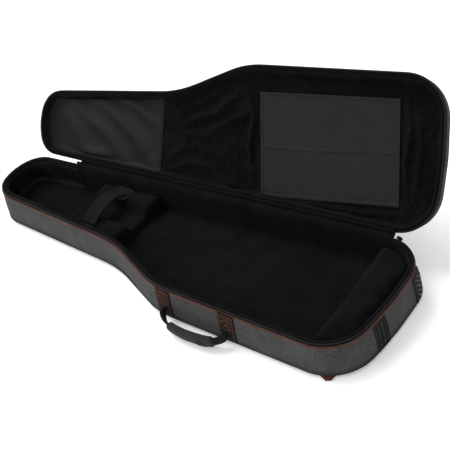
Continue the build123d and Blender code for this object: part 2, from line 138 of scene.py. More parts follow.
@dataclass(frozen=True)
class Outline:
    """The bag's outline from above."""

    half: float = 535.0
    head_bulge: float = 12.0
    tail_bulge: float = 8.0
    neck_end: float = -120.0
    body_start: float = 58.0
    front: tuple = (87.0, 104.0, 174.0, 170.0)
    far: tuple = (67.0, 169.0)
    radii: tuple = (68.0, 300.0, 205.0, 96.0, 250.0, 91.0, 60.0, 100.0)
    start_x: float = 30.0

    def corners(self) -> Array:
        """Corners before rounding, anticlockwise from the head's front corner."""
        head, neck, body, tail = self.front
        return np.array([
            (-self.half, -head), (self.neck_end, -neck), (self.body_start, -body), (self.half, -tail),
            (self.half + self.tail_bulge, 0), (self.half, self.far[1]),
            (-self.half, self.far[0]), (-self.half - self.head_bulge, -5)])

    def rounded(self) -> Array:
        """Closely spaced points of the rounded outline."""
        corners = self.corners()
        points = []
        for i, (corner, radius) in enumerate(zip(corners, self.radii)):
            before = corner - corners[i - 1]
            after = corners[(i + 1) % len(corners)] - corner
            before, after = before / np.linalg.norm(before), after / np.linalg.norm(after)
            turn = math.atan2(before[0] * after[1] - before[1] * after[0], float(before @ after))
            start = corner - before * radius * math.tan(abs(turn) / 2)
            side = np.array([-before[1], before[0]]) * math.copysign(1, turn)
            centre = start + side * radius
            for step in np.linspace(0, turn, 24):
                c, s = math.cos(step), math.sin(step)
                arm = start - centre
                points.append(centre + np.array([arm[0] * c - arm[1] * s, arm[0] * s + arm[1] * c]))
        return np.array(points)

    def loop(self, spacing: float = 5.0) -> Loop:
        """The outline as evenly spaced stations.

        Args:
            spacing: distance between stations.

        Returns:
            The loop, slightly eased so that fabric turns softly.
        """
        dense = self.rounded()
        closed = np.vstack([dense, dense[:1]])
        run = np.r_[0, np.cumsum(np.linalg.norm(np.diff(closed, axis=0), axis=1))]
        far = np.where(dense[:, 1] > 60)[0]
        count = int(run[-1] / spacing)
        where = np.linspace(0, run[-1], count, endpoint=False)
        points = np.stack([np.interp(where, run, closed[:, k]) for k in (0, 1)], axis=1)
        far = np.where(points[:, 1] > 50)[0]
        first = far[int(np.abs(points[far, 0] - self.start_x).argmin())]
        points = eased(np.roll(points, -first, axis=0), 3)
        along = np.roll(points, -1, axis=0) - np.roll(points, 1, axis=0)
        normals = np.stack([along[:, 1], -along[:, 0]], axis=1)
        normals = eased(normals / np.linalg.norm(normals, axis=1)[:, None], 3)
        normals /= np.linalg.norm(normals, axis=1)[:, None]
        return Loop(points, normals, np.arange(count) * run[-1] / count)


def eased(values: Array, rounds: int) -> Array:
    """Smooth a closed row of values a little, a number of rounds."""
    for _ in range(rounds):
        values = (np.roll(values, 1, axis=0) + 2 * values + np.roll(values, -1, axis=0)) / 4
    return values


class Hinge:
    """The fabric hinge line between base and lid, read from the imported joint."""

    def __init__(self) -> None:
        """Read the hinge's place, direction and opening from the frame."""
        joint = next(j for j in frame["joints"] if j["name"] == "lid_hinge")
        self.point = np.array(joint["pos_m"]) / MM
        self.along = -np.array(joint["axis"], float)
        self.along /= np.linalg.norm(self.along)
        self.outward = np.cross((0, 0, 1), self.along)
        self.opening = -math.radians(joint["range_deg"][0])

    def opened(self, points: Array) -> Array:
        """Turn closed lid points back to the open position.

        Args:
            points: (..., 3) points of the closed lid.

        Returns:
            The same points with the lid open.
        """
        arm = np.asarray(points, float) - self.point
        c, s = math.cos(-self.opening), math.sin(-self.opening)
        along = (arm @ self.along)[..., None] * self.along
        turned = np.cross(np.broadcast_to(self.along, arm.shape), arm)
        return arm * c + turned * s + along * (1 - c) + self.point

    def local(self, x: float, out: float, up: float) -> Array:
        """A point at a place x along the bag, measured outward and up from the hinge line."""
        start = self.point + self.along * ((x - self.point[0]) / self.along[0])
        return start + self.outward * out + np.array([0, 0, up])


@dataclass(frozen=True)
class Fold:
    """A soft ridge in fabric along a short path."""

    path: tuple
    width: float
    height: float

    def rise(self, x: Array, y: Array) -> Array:
        """Height of the ridge at plan points, tapering to its two ends.

        Args:
            x: places along the bag.
            y: places across it.

        Returns:
            One height for each point.
        """
        nodes = np.array(self.path, float)
        lengths = np.linalg.norm(np.diff(nodes, axis=0), axis=1)
        starts = np.r_[0, np.cumsum(lengths)]
        best = np.full(x.shape, 1e9)
        place = np.zeros(x.shape)
        for a, b, length, start in zip(nodes[:-1], nodes[1:], lengths, starts):
            along = (b - a) / length
            t = np.clip((x - a[0]) * along[0] + (y - a[1]) * along[1], 0, length)
            gap = np.hypot(x - a[0] - along[0] * t, y - a[1] - along[1] * t)
            near = gap < best
            best = np.where(near, gap, best)
            place = np.where(near, (start + t) / starts[-1], place)
        taper = np.sin(np.pi * np.clip(place, 0.04, 0.96)) ** 0.7
        return self.height * np.exp(-((best / self.width) ** 2)) * taper


def ripple(x: Array, y: Array, scale: float, seed: float) -> Array:
    """Smooth random values from about -1 to 1 over plan points, with features about scale across.

    Args:
        x: places along the bag.
        y: places across it.
        scale: size of a feature in millimetres.
        seed: which pattern.

    Returns:
        One value for each point.
    """
    flat = [soft_noise.noise(Vector((a / scale, b / scale, seed))) for a, b in zip(x.ravel(), y.ravel())]
    return np.array(flat).reshape(x.shape)


def grid_faces(rows: int, cols: int, wrap_rows: bool, wrap_cols: bool) -> list:
    """Quads over a grid of points, joined round where a direction wraps.

    Args:
        rows: rows of points.
        cols: points in a row.
        wrap_rows: whether the last row joins the first.
        wrap_cols: whether the last column joins the first.

    Returns:
        Faces as tuples of point numbers.
    """
    faces = []
    for i in range(rows if wrap_rows else rows - 1):
        for j in range(cols if wrap_cols else cols - 1):
            k, m = (i + 1) % rows, (j + 1) % cols
            faces.append((i * cols + j, k * cols + j, k * cols + m, i * cols + m))
    return faces


def make_mesh(name: str, points: Array, faces: list, finish: "Finish", sharp: float = 50.0) -> bpy.types.Object:
    """Make a mesh object from millimetre points and dress it in a finish.

    Args:
        name: the piece's name.
        points: (n, 3) points in millimetres.
        faces: tuples of point numbers.
        finish: what it is made of.
        sharp: edges that turn by more than this many degrees stay crisp.

    Returns:
        The new object, its faces turned outward.
    """
    mesh = bpy.data.meshes.new(name)
    mesh.from_pydata((np.asarray(points, float).reshape(-1, 3) * MM).tolist(), [], faces)
    tidy_normals(mesh)
    mesh.materials.append(finish.material())
    mesh.polygons.foreach_set("use_smooth", [True] * len(mesh.polygons))
    mesh.set_sharp_from_angle(angle=math.radians(sharp))
    piece = bpy.data.objects.new(name, mesh)
    bpy.context.scene.collection.objects.link(piece)
    return piece


def tidy_normals(mesh: bpy.types.Mesh) -> None:
    """Turn every face outward."""
    import bmesh
    shape = bmesh.new()
    shape.from_mesh(mesh)
    bmesh.ops.recalc_face_normals(shape, faces=shape.faces)
    shape.to_mesh(mesh)
    shape.free()


def make_grid(name: str, grid: Array, finish: "Finish", wrap_rows: bool = False, wrap_cols: bool = False,
              sharp: float = 50.0) -> bpy.types.Object:
    """Make a piece from a (rows, columns, 3) grid of points.

    Args:
        name: the piece's name.
        grid: the points, in millimetres.
        finish: what it is made of.
        wrap_rows: whether the last row joins the first.
        wrap_cols: whether the last column joins the first.
        sharp: angle in degrees above which an edge stays sharp.

    Returns:
        The piece.
    """
    rows, cols = grid.shape[:2]
    faces = grid_faces(rows, cols, wrap_rows, wrap_cols)
    if wrap_cols and not wrap_rows:
        faces += [tuple(range(cols))[::-1], tuple((rows - 1) * cols + j for j in range(cols))]
    return make_mesh(name, grid.reshape(-1, 3), faces, finish, sharp)


def make_slab(name: str, front: Array, back: Array, finish: "Finish", wrap: bool = False) -> bpy.types.Object:
    """Make a closed sheet from the grids of its two faces.

    Args:
        name: the piece's name.
        front: (rows, columns, 3) points of the side that shows.
        back: the same grid of the hidden side.
        finish: what it is made of.
        wrap: whether the rows join up round the bag.

    Returns:
        The new object.
    """
    rows, cols = front.shape[:2]
    faces = grid_faces(rows, cols, wrap, False)
    count = rows * cols
    faces += [tuple(k + count for k in face)[::-1] for face in faces]
    if wrap:
        rims = [[i * cols + side for i in range(rows)] for side in (0, cols - 1)]
    else:
        rims = [[i * cols for i in range(rows)] + [(rows - 1) * cols + j for j in range(1, cols)]
                + [i * cols + cols - 1 for i in range(rows - 2, -1, -1)] + list(range(cols - 2, 0, -1))]
    for rim in rims:
        faces += [(a, b, b + count, a + count) for a, b in zip(rim, rim[1:] + rim[:1])]
    points = np.vstack([front.reshape(-1, 3), back.reshape(-1, 3)])
    return make_mesh(name, points, faces, finish)


def shifted(profile: Array, distance: float) -> Array:
    """A profile moved sideways, to the left of its direction for a positive distance."""
    ahead = np.gradient(profile, axis=-2)
    side = np.stack([-ahead[..., 1], ahead[..., 0]], axis=-1)
    return profile + side / np.linalg.norm(side, axis=-1, keepdims=True) * distance


def cut_size(grid: Array) -> tuple[float, float]:
    """Width and length in metres that a strip of cloth was cut to, from a grid in millimetres."""
    across = np.linalg.norm(np.diff(grid, axis=1), axis=2).sum(axis=1).mean()
    along = np.linalg.norm(np.diff(grid, axis=0), axis=2).sum(axis=0).mean()
    return float(across) * MM, float(along) * MM


def apply_modifiers(piece: bpy.types.Object) -> None:
    """Bake a piece's modifiers into its mesh."""
    depsgraph = bpy.context.evaluated_depsgraph_get()
    mesh = bpy.data.meshes.new_from_object(piece.evaluated_get(depsgraph))
    piece.modifiers.clear()
    old = piece.data
    piece.data = mesh
    mesh.name = old.name
    bpy.data.meshes.remove(old)


def settle(piece: bpy.types.Object, body: Body, slot: str, *stands_for: str) -> bpy.types.Object:
    """Put a finished piece on its body and hide the CAD nodes that it replaces.

    Args:
        piece: the object.
        body: what it moves with.
        slot: the record's material slot; not used.
        stands_for: CAD nodes that it replaces.

    Returns:
        The piece.
    """
    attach(piece, body.value)
    if stands_for:
        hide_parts(*stands_for)
    LOG.info("%s rides on %s, %d faces", piece.name, body.value, len(piece.data.polygons))
    return piece


def tube(path: Array, radius: float, sides: int = 8, closed: bool = False, flat: float = 1.0,
         up: Array | None = None) -> tuple[Array, list]:
    """A round or flattened tube along a path.

    Args:
        path: (n, 3) points.
        radius: its radius.
        sides: points round its section.
        closed: whether the path joins up.
        flat: its height as a share of its width.
        up: the direction that the flattened height points in.

    Returns:
        Its points and faces.
    """
    path = np.asarray(path, float)
    ahead = np.roll(path, -1, axis=0) - np.roll(path, 1, axis=0)
    if not closed:
        ahead[0], ahead[-1] = path[1] - path[0], path[-1] - path[-2]
    ahead /= np.linalg.norm(ahead, axis=1)[:, None]
    up = np.array([0.0, 0.0, 1.0]) if up is None else np.asarray(up, float)
    side = np.cross(ahead, np.broadcast_to(up, ahead.shape))
    side /= np.maximum(np.linalg.norm(side, axis=1)[:, None], 1e-6)
    over = np.cross(side, ahead)
    turn = np.linspace(0, 2 * np.pi, sides, endpoint=False)
    points = (path[:, None] + side[:, None] * np.cos(turn)[None, :, None] * radius
              + over[:, None] * np.sin(turn)[None, :, None] * radius * flat)
    faces = grid_faces(len(path), sides, closed, True)
    if not closed:
        last = (len(path) - 1) * sides
        faces += [tuple(range(sides))[::-1], tuple(last + k for k in range(sides))]
    return points.reshape(-1, 3), faces


def joined(parts: list) -> tuple[Array, list]:
    """Join several (points, faces) pairs into one."""
    points, faces, start = [], [], 0
    for some_points, some_faces in parts:
        points.append(np.asarray(some_points).reshape(-1, 3))
        faces += [tuple(k + start for k in face) for face in some_faces]
        start += len(points[-1])
    return np.vstack(points), faces


def stitches(path: Array, out: Array, length: float = 5.0, gap: float = 2.4, radius: float = 0.55,
             closed: bool = False) -> tuple[Array, list]:
    """A row of thread stitches lying on a surface.

    Args:
        path: (n, 3) points of the seam on the surface.
        out: (n, 3) directions away from the surface.
        length: length of a stitch.
        gap: fabric between two stitches.
        radius: the thread's radius.
        closed: whether the seam joins up.

    Returns:
        Points and faces of all stitches.
    """
    if closed:
        path, out = np.vstack([path, path[:1]]), np.vstack([out, out[:1]])
    run = np.r_[0, np.cumsum(np.linalg.norm(np.diff(path, axis=0), axis=1))]
    starts = np.arange(gap, run[-1] - length, length + gap)
    parts = []
    for begin in starts:
        where = begin + length * np.array([0.0, 0.12, 0.5, 0.88, 1.0])
        lift = np.array([-0.7, 0.35, 0.6, 0.35, -0.7]) * radius
        spots = np.stack([np.interp(where, run, path[:, k]) for k in range(3)], axis=1)
        away = np.stack([np.interp(where, run, out[:, k]) for k in range(3)], axis=1)
        parts.append(tube(spots + away * lift[:, None], radius, 5, up=away[2]))
    return joined(parts)


# ---- finishes -----------------------------------------------------------------------------------
class Graph:
    """A small builder for one material's nodes."""

    def __init__(self, name: str) -> None:
        """Start a material with an empty Principled shader."""
        self.made = bpy.data.materials.new(name)
        self.made.use_nodes = True
        self.tree = self.made.node_tree
        self.shader = self.tree.nodes["Principled BSDF"]
        self.place = self.add("ShaderNodeTexCoord").outputs["Object"]

    def add(self, kind: str, **settings: object) -> bpy.types.Node:
        """Add a node and set its properties."""
        node = self.tree.nodes.new(kind)
        for key, value in settings.items():
            setattr(node, key, value)
        return node

    def feed(self, node: bpy.types.Node, **inputs: object) -> bpy.types.Node:
        """Set or link a node's inputs; underscores in a name stand for spaces."""
        for key, value in inputs.items():
            numbered = key[0] == "i" and key[1:].isdigit()
            socket = node.inputs[int(key[1:])] if numbered else node.inputs[key.replace("_", " ")]
            if isinstance(value, bpy.types.NodeSocket):
                self.tree.links.new(value, socket)
            else:
                socket.default_value = value
        return node

    def sum(self, kind: str, a: object, b: object) -> bpy.types.NodeSocket:
        """Combine two numbers with a Math node."""
        return self.feed(self.add("ShaderNodeMath", operation=kind), i0=a, i1=b).outputs[0]

    def grain(self, scale: float, detail: float = 2.0, rough: float = 0.5,
              vector: object = None) -> bpy.types.NodeSocket:
        """Random grain with about scale features to the metre."""
        node = self.add("ShaderNodeTexNoise")
        self.feed(node, Vector=vector or self.place, Scale=scale, Detail=detail, Roughness=rough)
        return node.outputs[0]

    def threads(self, pitch: float) -> bpy.types.NodeSocket:
        """Crossing threads at a pitch in millimetres, on any face."""
        parts = self.feed(self.add("ShaderNodeSeparateXYZ"), Vector=self.place)
        waves = [self.sum("SINE", self.sum("MULTIPLY", parts.outputs[k], 2 * math.pi / (pitch * MM)), 0.0)
                 for k in range(3)]
        return self.sum("ADD", self.sum("ADD", waves[0], waves[1]), waves[2])

    def spread(self, value: object, low: float, high: float) -> bpy.types.NodeSocket:
        """Stretch the part of a value between two limits to run from 0 to 1."""
        node = self.add("ShaderNodeMapRange")
        self.feed(node, Value=value, From_Min=low, From_Max=high)
        return node.outputs[0]

    def tint(self, share: object, first: tuple, second: tuple) -> bpy.types.NodeSocket:
        """Mix two colours by a share."""
        node = self.add("ShaderNodeMix", data_type="RGBA")
        self.tree.links.new(share, node.inputs[0])
        node.inputs[6].default_value = (*first, 1)
        node.inputs[7].default_value = (*second, 1)
        return node.outputs[2]

    def raised(self, height: object, depth: float, strength: float,
               under: object = None) -> bpy.types.NodeSocket:
        """A bump from a height, its depth in millimetres, on top of another bump."""
        node = self.feed(self.add("ShaderNodeBump"), Height=height, Distance=depth * MM, Strength=strength)
        if under is not None:
            self.tree.links.new(under, node.inputs["Normal"])
        return node.outputs[0]


MADE: dict = {}


@dataclass(frozen=True)
class Finish:
    """What a surface is made of."""

    name: str
    colour: tuple
    second: tuple

    def material(self) -> bpy.types.Material:
        """The Blender material, made once."""
        if self.name not in MADE:
            graph = Graph(self.name)
            self.dress(graph)
            MADE[self.name] = graph.made
        return MADE[self.name]

    def dress(self, graph: Graph) -> None:
        """Add this finish's nodes."""
        raise NotImplementedError


@dataclass(frozen=True)
class Woven(Finish):
    """Woven cloth, tape or webbing."""

    pitch: float = 1.1
    depth: float = 0.22
    roughness: float = 0.85
    sheen: float = 0.03
    gloss: float = 0.12

    def dress(self, graph: Graph) -> None:
        """Crossing threads, a heathered colour and a soft sheen."""
        threads = graph.threads(self.pitch)
        fine = graph.grain(900.0, 3.0, 0.7)
        cloudy = graph.grain(28.0, 4.0, 0.6)
        fleck = graph.grain(300.0, 3.0, 0.7)
        share = graph.sum("ADD", graph.sum("MULTIPLY", fine, 0.3), graph.sum("MULTIPLY", cloudy, 0.2))
        share = graph.sum("ADD", share, graph.sum("MULTIPLY", fleck, 0.5))
        colour = graph.tint(graph.spread(share, 0.42, 0.58), self.colour, self.second)
        graph.feed(graph.shader, Base_Color=colour)
        weave = graph.raised(threads, self.depth, 0.7)
        graph.feed(graph.shader, Normal=graph.raised(fine, 0.5, 0.45, weave))
        graph.feed(graph.shader, Roughness=self.roughness, Sheen_Weight=self.sheen, Sheen_Roughness=0.5)
        graph.feed(graph.shader, Specular_IOR_Level=self.gloss)


@dataclass(frozen=True)
class Plush(Finish):
    """Short pile lining."""

    depth: float = 0.9
    sheen: float = 0.02
    gloss: float = 0.03

    def dress(self, graph: Graph) -> None:
        """Fine pile, brushed patches and a soft edge glow."""
        pile = graph.grain(1100.0, 3.0, 0.75)
        clumps = graph.grain(190.0, 3.0, 0.6)
        brushed = graph.grain(16.0, 4.0, 0.62)
        share = graph.sum("ADD", graph.sum("MULTIPLY", clumps, 0.45), graph.sum("MULTIPLY", brushed, 0.55))
        colour = graph.tint(graph.spread(share, 0.36, 0.66), self.colour, self.second)
        graph.feed(graph.shader, Base_Color=colour)
        low = graph.raised(clumps, self.depth, 0.5)
        graph.feed(graph.shader, Normal=graph.raised(pile, self.depth, 0.8, low))
        graph.feed(graph.shader, Roughness=1.0, Sheen_Weight=self.sheen, Sheen_Roughness=0.6)
        graph.feed(graph.shader, Specular_IOR_Level=self.gloss)


@dataclass(frozen=True)
class Moulded(Finish):
    """Rubber, plastic or painted metal."""

    roughness: float = 0.55
    metallic: float = 0.0
    speckle: float = 0.12
    gloss: float = 0.35

    def dress(self, graph: Graph) -> None:
        """A fine moulded grain and slightly uneven gloss."""
        grain = graph.grain(1400.0, 2.0, 0.6)
        worn = graph.grain(40.0, 3.0, 0.6)
        colour = graph.tint(graph.spread(worn, 0.35, 0.7), self.colour, self.second)
        graph.feed(graph.shader, Base_Color=colour)
        rough = graph.spread(worn, 0.0, 1.0)
        level = graph.sum("ADD", graph.sum("MULTIPLY", rough, 0.2), self.roughness - 0.1)
        graph.feed(graph.shader, Roughness=level, Metallic=self.metallic, Specular_IOR_Level=self.gloss)
        graph.feed(graph.shader, Normal=graph.raised(grain, self.speckle, 0.5))


OUTER = Woven("outer_fabric", (0.034, 0.0345, 0.0355), (0.074, 0.075, 0.077), pitch=1.3)
LINING = Plush("plush_lining", (0.0016, 0.0016, 0.0017), (0.0056, 0.0056, 0.0058))
NYLON = Woven("nylon_guard", (0.0090, 0.0092, 0.0098), (0.0150, 0.0153, 0.0162), pitch=0.9, depth=0.12,
              roughness=0.6, gloss=0.16)
DARK_NYLON = Woven("head_guard_nylon", (0.0018, 0.0019, 0.0020), (0.0038, 0.0039, 0.0041), pitch=0.9, depth=0.12,
                   roughness=0.42, sheen=0.004, gloss=0.22)
PIPING = Woven("piping_cord", (0.060, 0.024, 0.015), (0.13, 0.050, 0.030), pitch=1.6, depth=0.3)
EDGING = Woven("foot_edging", (0.020, 0.021, 0.023), (0.040, 0.041, 0.044), pitch=1.6, depth=0.3)
BINDING = Woven("lid_binding", (0.010, 0.010, 0.011), (0.022, 0.022, 0.024), pitch=1.6, depth=0.3)
THREAD = Woven("rust_thread", (0.20, 0.052, 0.020), (0.34, 0.095, 0.038), pitch=0.8, depth=0.1, roughness=0.6)
DARK_THREAD = Woven("black_thread", (0.012, 0.012, 0.013), (0.028, 0.028, 0.030), pitch=0.8, depth=0.1)
TAPE = Woven("zipper_tape", (0.0026, 0.0026, 0.0028), (0.0070, 0.0070, 0.0074), pitch=0.8, depth=0.15, gloss=0.06)
COIL = Moulded("zipper_coil", (0.0055, 0.0055, 0.0058), (0.012, 0.012, 0.0126), roughness=0.42, gloss=0.2)
WEBBING = Woven("webbing", (0.0030, 0.0030, 0.0032), (0.0085, 0.0085, 0.0088), pitch=2.1, depth=0.5, roughness=0.75,
                gloss=0.06)
GRIP = Woven("grip_fabric", (0.018, 0.0185, 0.020), (0.036, 0.037, 0.040), pitch=1.2)
RUBBER = Moulded("bumper_rubber", (0.0028, 0.0028, 0.0030), (0.0056, 0.0056, 0.0058), roughness=0.42, speckle=0.2,
                 gloss=0.22)
MAROON = Woven("anchor_fabric", (0.075, 0.018, 0.013), (0.14, 0.037, 0.026), pitch=1.4, depth=0.3)
PLASTIC = Moulded("moulded_plastic", (0.012, 0.012, 0.013), (0.024, 0.024, 0.026), roughness=0.45)
SLIDER = Moulded("slider_metal", (0.020, 0.020, 0.022), (0.060, 0.060, 0.064), roughness=0.35, metallic=0.6)
PULL = Moulded("pull_rubber", (0.012, 0.012, 0.013), (0.030, 0.030, 0.032), roughness=0.5)
HOOK = Plush("loop_patch", (0.008, 0.008, 0.009), (0.020, 0.020, 0.022), depth=0.6, sheen=0.2)


# ---- sub-assemblies -----------------------------------------------------------------------------
@dataclass
class BaseTray:
    """The padded tray: outer wall, lining, floor, pipings and zipper half."""

    loop: Loop
    hinge: Hinge
    floor: float = 26.0
    rim: float = 87.0
    piping_height: float = 81.0
    foot_piping_height: float = 8.0
    guard_end: float = -385.0

    def wall_profile(self) -> Array:
        """Outer wall from the inside of its foot to the top, then back down inside the padding."""
        return np.array([
            (-14.0, 0.0), (-8.0, 0.0), (-2.5, 0.4), (1.4, 2.2), (3.4, 6.0), (4.2, 12.0), (4.4, 22.0), (3.9, 34.0),
            (2.9, 48.0), (1.5, 61.0), (0.0, 71.0), (-0.8, 76.0), (-1.6, 80.0), (-2.6, 85.2), (-4.4, 86.2),
            (-7.0, 84.0), (-8.0, 60.0), (-9.0, 30.0), (-12.0, 12.0), (-14.0, 8.0)])

    def surface(self, height: Array) -> Array:
        """Outward offset of the outer wall at heights above the floor."""
        rows = self.wall_profile()[3:13]
        return np.interp(height, rows[:, 1], rows[:, 0])

    def build(self) -> None:
        """Make every piece of the tray."""
        self.outer_wall()
        self.lining()
        self.head_guard()
        self.floor_plush()
        self.pipings()
        self.zipper_half()

    def outer_wall(self) -> None:
        """The grey woven wall, gently uneven between its seams."""
        profile = np.repeat(self.wall_profile()[None], len(self.loop.points), axis=0)
        belly = np.clip(1 - ((profile[:, :, 1] - 40) / 38) ** 2, 0, 1) * (np.arange(profile.shape[1]) < 13)
        x, y = self.loop.points.T
        profile[:, :, 0] += belly * (1.6 * ripple(x, y, 90, 1.5))[:, None]
        wall = make_grid("outer_wall", self.loop.ring(profile), OUTER, True, True)
        settle(wall, Body.BASE, "outer_fabric", "base_outer_wall", "base_wall_foam")

    def lining_profile(self) -> Array:
        """The lining's section at every station, from the zipper over the rim and down to the floor."""
        path = np.array([
            (-3.2, 83.0), (-3.4, 86.0), (-5.2, 87.6), (-8.5, 88.0), (-12.0, 87.0), (-14.4, 83.0), (-15.6, 74.0),
            (-16.2, 62.0), (-16.0, 50.0), (-15.8, 40.0), (-16.8, 32.0), (-20.0, 27.8), (-26.0, 25.6)])
        profile = np.repeat(path[None], len(self.loop.points), axis=0)
        x, y = self.loop.points.T
        loose = np.clip((86 - path[:, 1]) / 20, 0, 1) * np.clip((path[:, 1] - 26) / 14, 0, 1)
        for size, height, seed, lean in ((70, 3.0, 3.1, 0.4), (22, 1.6, 5.7, 0.9), (11, 0.6, 1.3, 1.4)):
            for k, (_, z) in enumerate(path):
                profile[:, k, 0] += loose[k] * height * ripple(x + lean * z, y + 0.3 * z, size, seed)
        return profile

    def lining(self) -> None:
        """The plush that rolls over the rim and down the inside of the wall."""
        profile = self.lining_profile()
        back = self.loop.ring(shifted(profile, 2.0))
        sheet = make_slab("base_wall_plush", self.loop.ring(profile), back, LINING, True)
        settle(sheet, Body.BASE, "plush", "base_wall_lining")

    def head_guard(self) -> None:
        """Nylon sheet sewn over the plush round the headstock."""
        profile = self.lining_profile()[:, 5:12]
        profile[:, :, 0] -= 1.3
        keep = np.where(self.loop.points[:, 0] < self.guard_end)[0]
        strip = self.loop.ring(profile)[keep[0]: keep[-1] + 1]
        back = self.loop.ring(shifted(profile, 0.9))[keep[0]: keep[-1] + 1]
        sheet = make_slab("wall_guard", strip, back, DARK_NYLON)
        settle(sheet, Body.BASE, "nylon_guard", "head_wall_guard")
        cut_size(strip)
        ends = [strip[1], strip[-2]]
        rows = [stitches(row, np.repeat(self.inward(row), len(row), axis=0), 4.0, 2.0) for row in ends]
        rows.append(stitches(strip[:, 0] - (0, 0, 2), np.concatenate(
            [-self.loop.normals, 0 * self.loop.normals[:, :1]], axis=1)[keep[0]: keep[-1] + 1], 4.0, 2.0))
        settle(make_mesh("wall_guard_stitching", *joined(rows), DARK_THREAD), Body.BASE, "nylon_guard")

    def inward(self, row: Array) -> Array:
        """Direction from a row of wall points to the middle of the bag."""
        away = np.array([[row[0, 0], 0, 0]]) - np.array([[row[0, 0], row[0, 1], 0]])
        return away / np.linalg.norm(away)

    def floor_plush(self) -> None:
        """The plush floor, softly quilted by the padding under it."""
        panel = Panel(self.loop, 15.5, 260, 90)
        height = (self.floor + 1.4 * ripple(panel.x, panel.y, 60, 8.2)
                  + 0.7 * ripple(panel.x, panel.y, 17, 2.2))
        sheet = make_slab("floor_plush", panel.at(height), panel.at(height - 8), LINING)
        settle(sheet, Body.BASE, "plush", "base_floor_lining", "base_floor_foam")

    def pipings(self) -> None:
        """Rust cord below the zipper with its stitches, and a dark cord round the foot."""
        points, faces = tube(self.loop.line(-0.5, self.piping_height), 1.05, 8, True)
        settle(make_mesh("rim_cord", points, faces, PIPING), Body.BASE, "piping", "rim_piping")
        points, faces = tube(self.loop.line(3.4, self.foot_piping_height), 2.4, 8, True)
        settle(make_mesh("foot_cord", points, faces, EDGING), Body.BASE, "dark_piping", "bottom_piping")
        out = np.concatenate([self.loop.normals, np.zeros((len(self.loop.normals), 1))], axis=1)
        seam = self.piping_height - 6.4
        row = stitches(self.loop.line(float(self.surface(seam)) + 0.1, seam), out, 5.0, 1.6, 0.6, True)
        settle(make_mesh("rim_stitching", *row, THREAD), Body.BASE, "piping")
        seam = self.foot_piping_height + 7.0
        row = stitches(self.loop.line(float(self.surface(seam)) + 0.1, seam), out, closed=True)
        settle(make_mesh("foot_stitching", *row, DARK_THREAD), Body.BASE, "dark_piping")

    def zipper_half(self) -> None:
        """Black tape standing on the wall and its row of coil teeth."""
        path = np.array([(-1.6, 81.6), (-1.2, 83.0), (-1.9, 86.2), (-3.4, 86.6), (-3.6, 83.0), (-3.2, 81.6)])
        track = ZipperTrack(self.loop)
        tape = make_grid("base_tape", track.ring(path), TAPE, False, True)
        settle(tape, Body.BASE, "zipper_tape", "base_zipper_tape")
        teeth = make_mesh("base_teeth", *track.teeth(-2.4, 86.6, 1.0), COIL)
        settle(teeth, Body.BASE, "zipper_coil", "base_zipper_coil")


@dataclass
class ZipperTrack:
    """The stretch of the outline that the main zipper follows, from one hinge end round to the other."""

    loop: Loop
    start: float = -387.0
    end: float = 448.0
    pitch: float = 2.6

    def span(self) -> slice:
        """Stations between the two ends of the fabric hinge."""
        x = self.loop.points[:, 0]
        y = self.loop.points[:, 1]
        far = y > 50
        first = next(i for i in range(len(x)) if far[i] and x[i] < self.start)
        last = next(i for i in range(len(x) - 1, 0, -1) if far[i] and x[i] > self.end)
        return slice(first, last + 1)

    def ring(self, profile: Array) -> Array:
        """Carry a profile along the track only."""
        return self.loop.ring(profile)[self.span()]

    def teeth(self, offset: float, height: float, up: float) -> tuple[Array, list]:
        """Coil turns standing on the tape's edge.

        Args:
            offset: outward place of the coil's middle.
            height: height of the tape's edge.
            up: 1 for the base, -1 for the lid.

        Returns:
            Points and faces of the coil.
        """
        line = self.loop.line(offset, height)[self.span()]
        run = np.r_[0, np.cumsum(np.linalg.norm(np.diff(line, axis=0), axis=1))]
        normals = np.concatenate([self.loop.normals, np.zeros((len(self.loop.normals), 1))], axis=1)[self.span()]
        parts = []
        for where in np.arange(2, run[-1] - 2, self.pitch):
            spot = np.array([np.interp(where, run, line[:, k]) for k in range(3)])
            out = np.array([np.interp(where, run, normals[:, k]) for k in range(3)])
            side = np.cross(out, (0, 0, 1)) * self.pitch * 0.32
            lift = np.array([0, 0, 1.25 * up])
            box = [spot + side * a + out * b * 1.5 + lift * c
                   for a, b, c in ((-1, -1, 0), (1, -1, 0), (1, 1, 0), (-1, 1, 0),
                                   (-0.7, -0.8, 1), (0.7, -0.8, 1), (0.7, 0.8, 1), (-0.7, 0.8, 1))]
            parts.append((np.array(box), [(0, 3, 2, 1), (4, 5, 6, 7), (0, 1, 5, 4), (1, 2, 6, 5), (2, 3, 7, 6),
                                          (3, 0, 4, 7)]))
        return joined(parts)


class Panel:
    """A grid of plan points that fills the outline at an inset."""

    def __init__(self, loop: Loop, inset: float, columns: int, rows: int) -> None:
        """Lay out the grid.

        Args:
            loop: the outline.
            inset: how far inside it the panel's edge is.
            columns: points from head to tail.
            rows: points from front to far side.
        """
        front, far = loop.sides(inset)
        t = np.linspace(0, 1, columns)
        ease = 0.5 - 0.5 * np.cos(np.pi * t)
        share = 0.65 * t + 0.35 * ease
        share = 0.0015 + 0.997 * share
        x = front[0, 0] + (front[-1, 0] - front[0, 0]) * share
        low = np.interp(x, front[:, 0], front[:, 1])
        high = np.interp(x, far[:, 0], far[:, 1])
        s = np.linspace(0, 1, rows)
        self.x = np.repeat(x[:, None], rows, axis=1)
        self.y = low[:, None] + (high - low)[:, None] * s
        self.edge = np.minimum(np.minimum(self.y - low[:, None], high[:, None] - self.y),
                               np.minimum(self.x - front[0, 0], front[-1, 0] - self.x))

    def at(self, height: Array) -> Array:
        """The grid at given heights."""
        return np.stack([self.x, self.y, np.broadcast_to(height, self.x.shape)], axis=2)


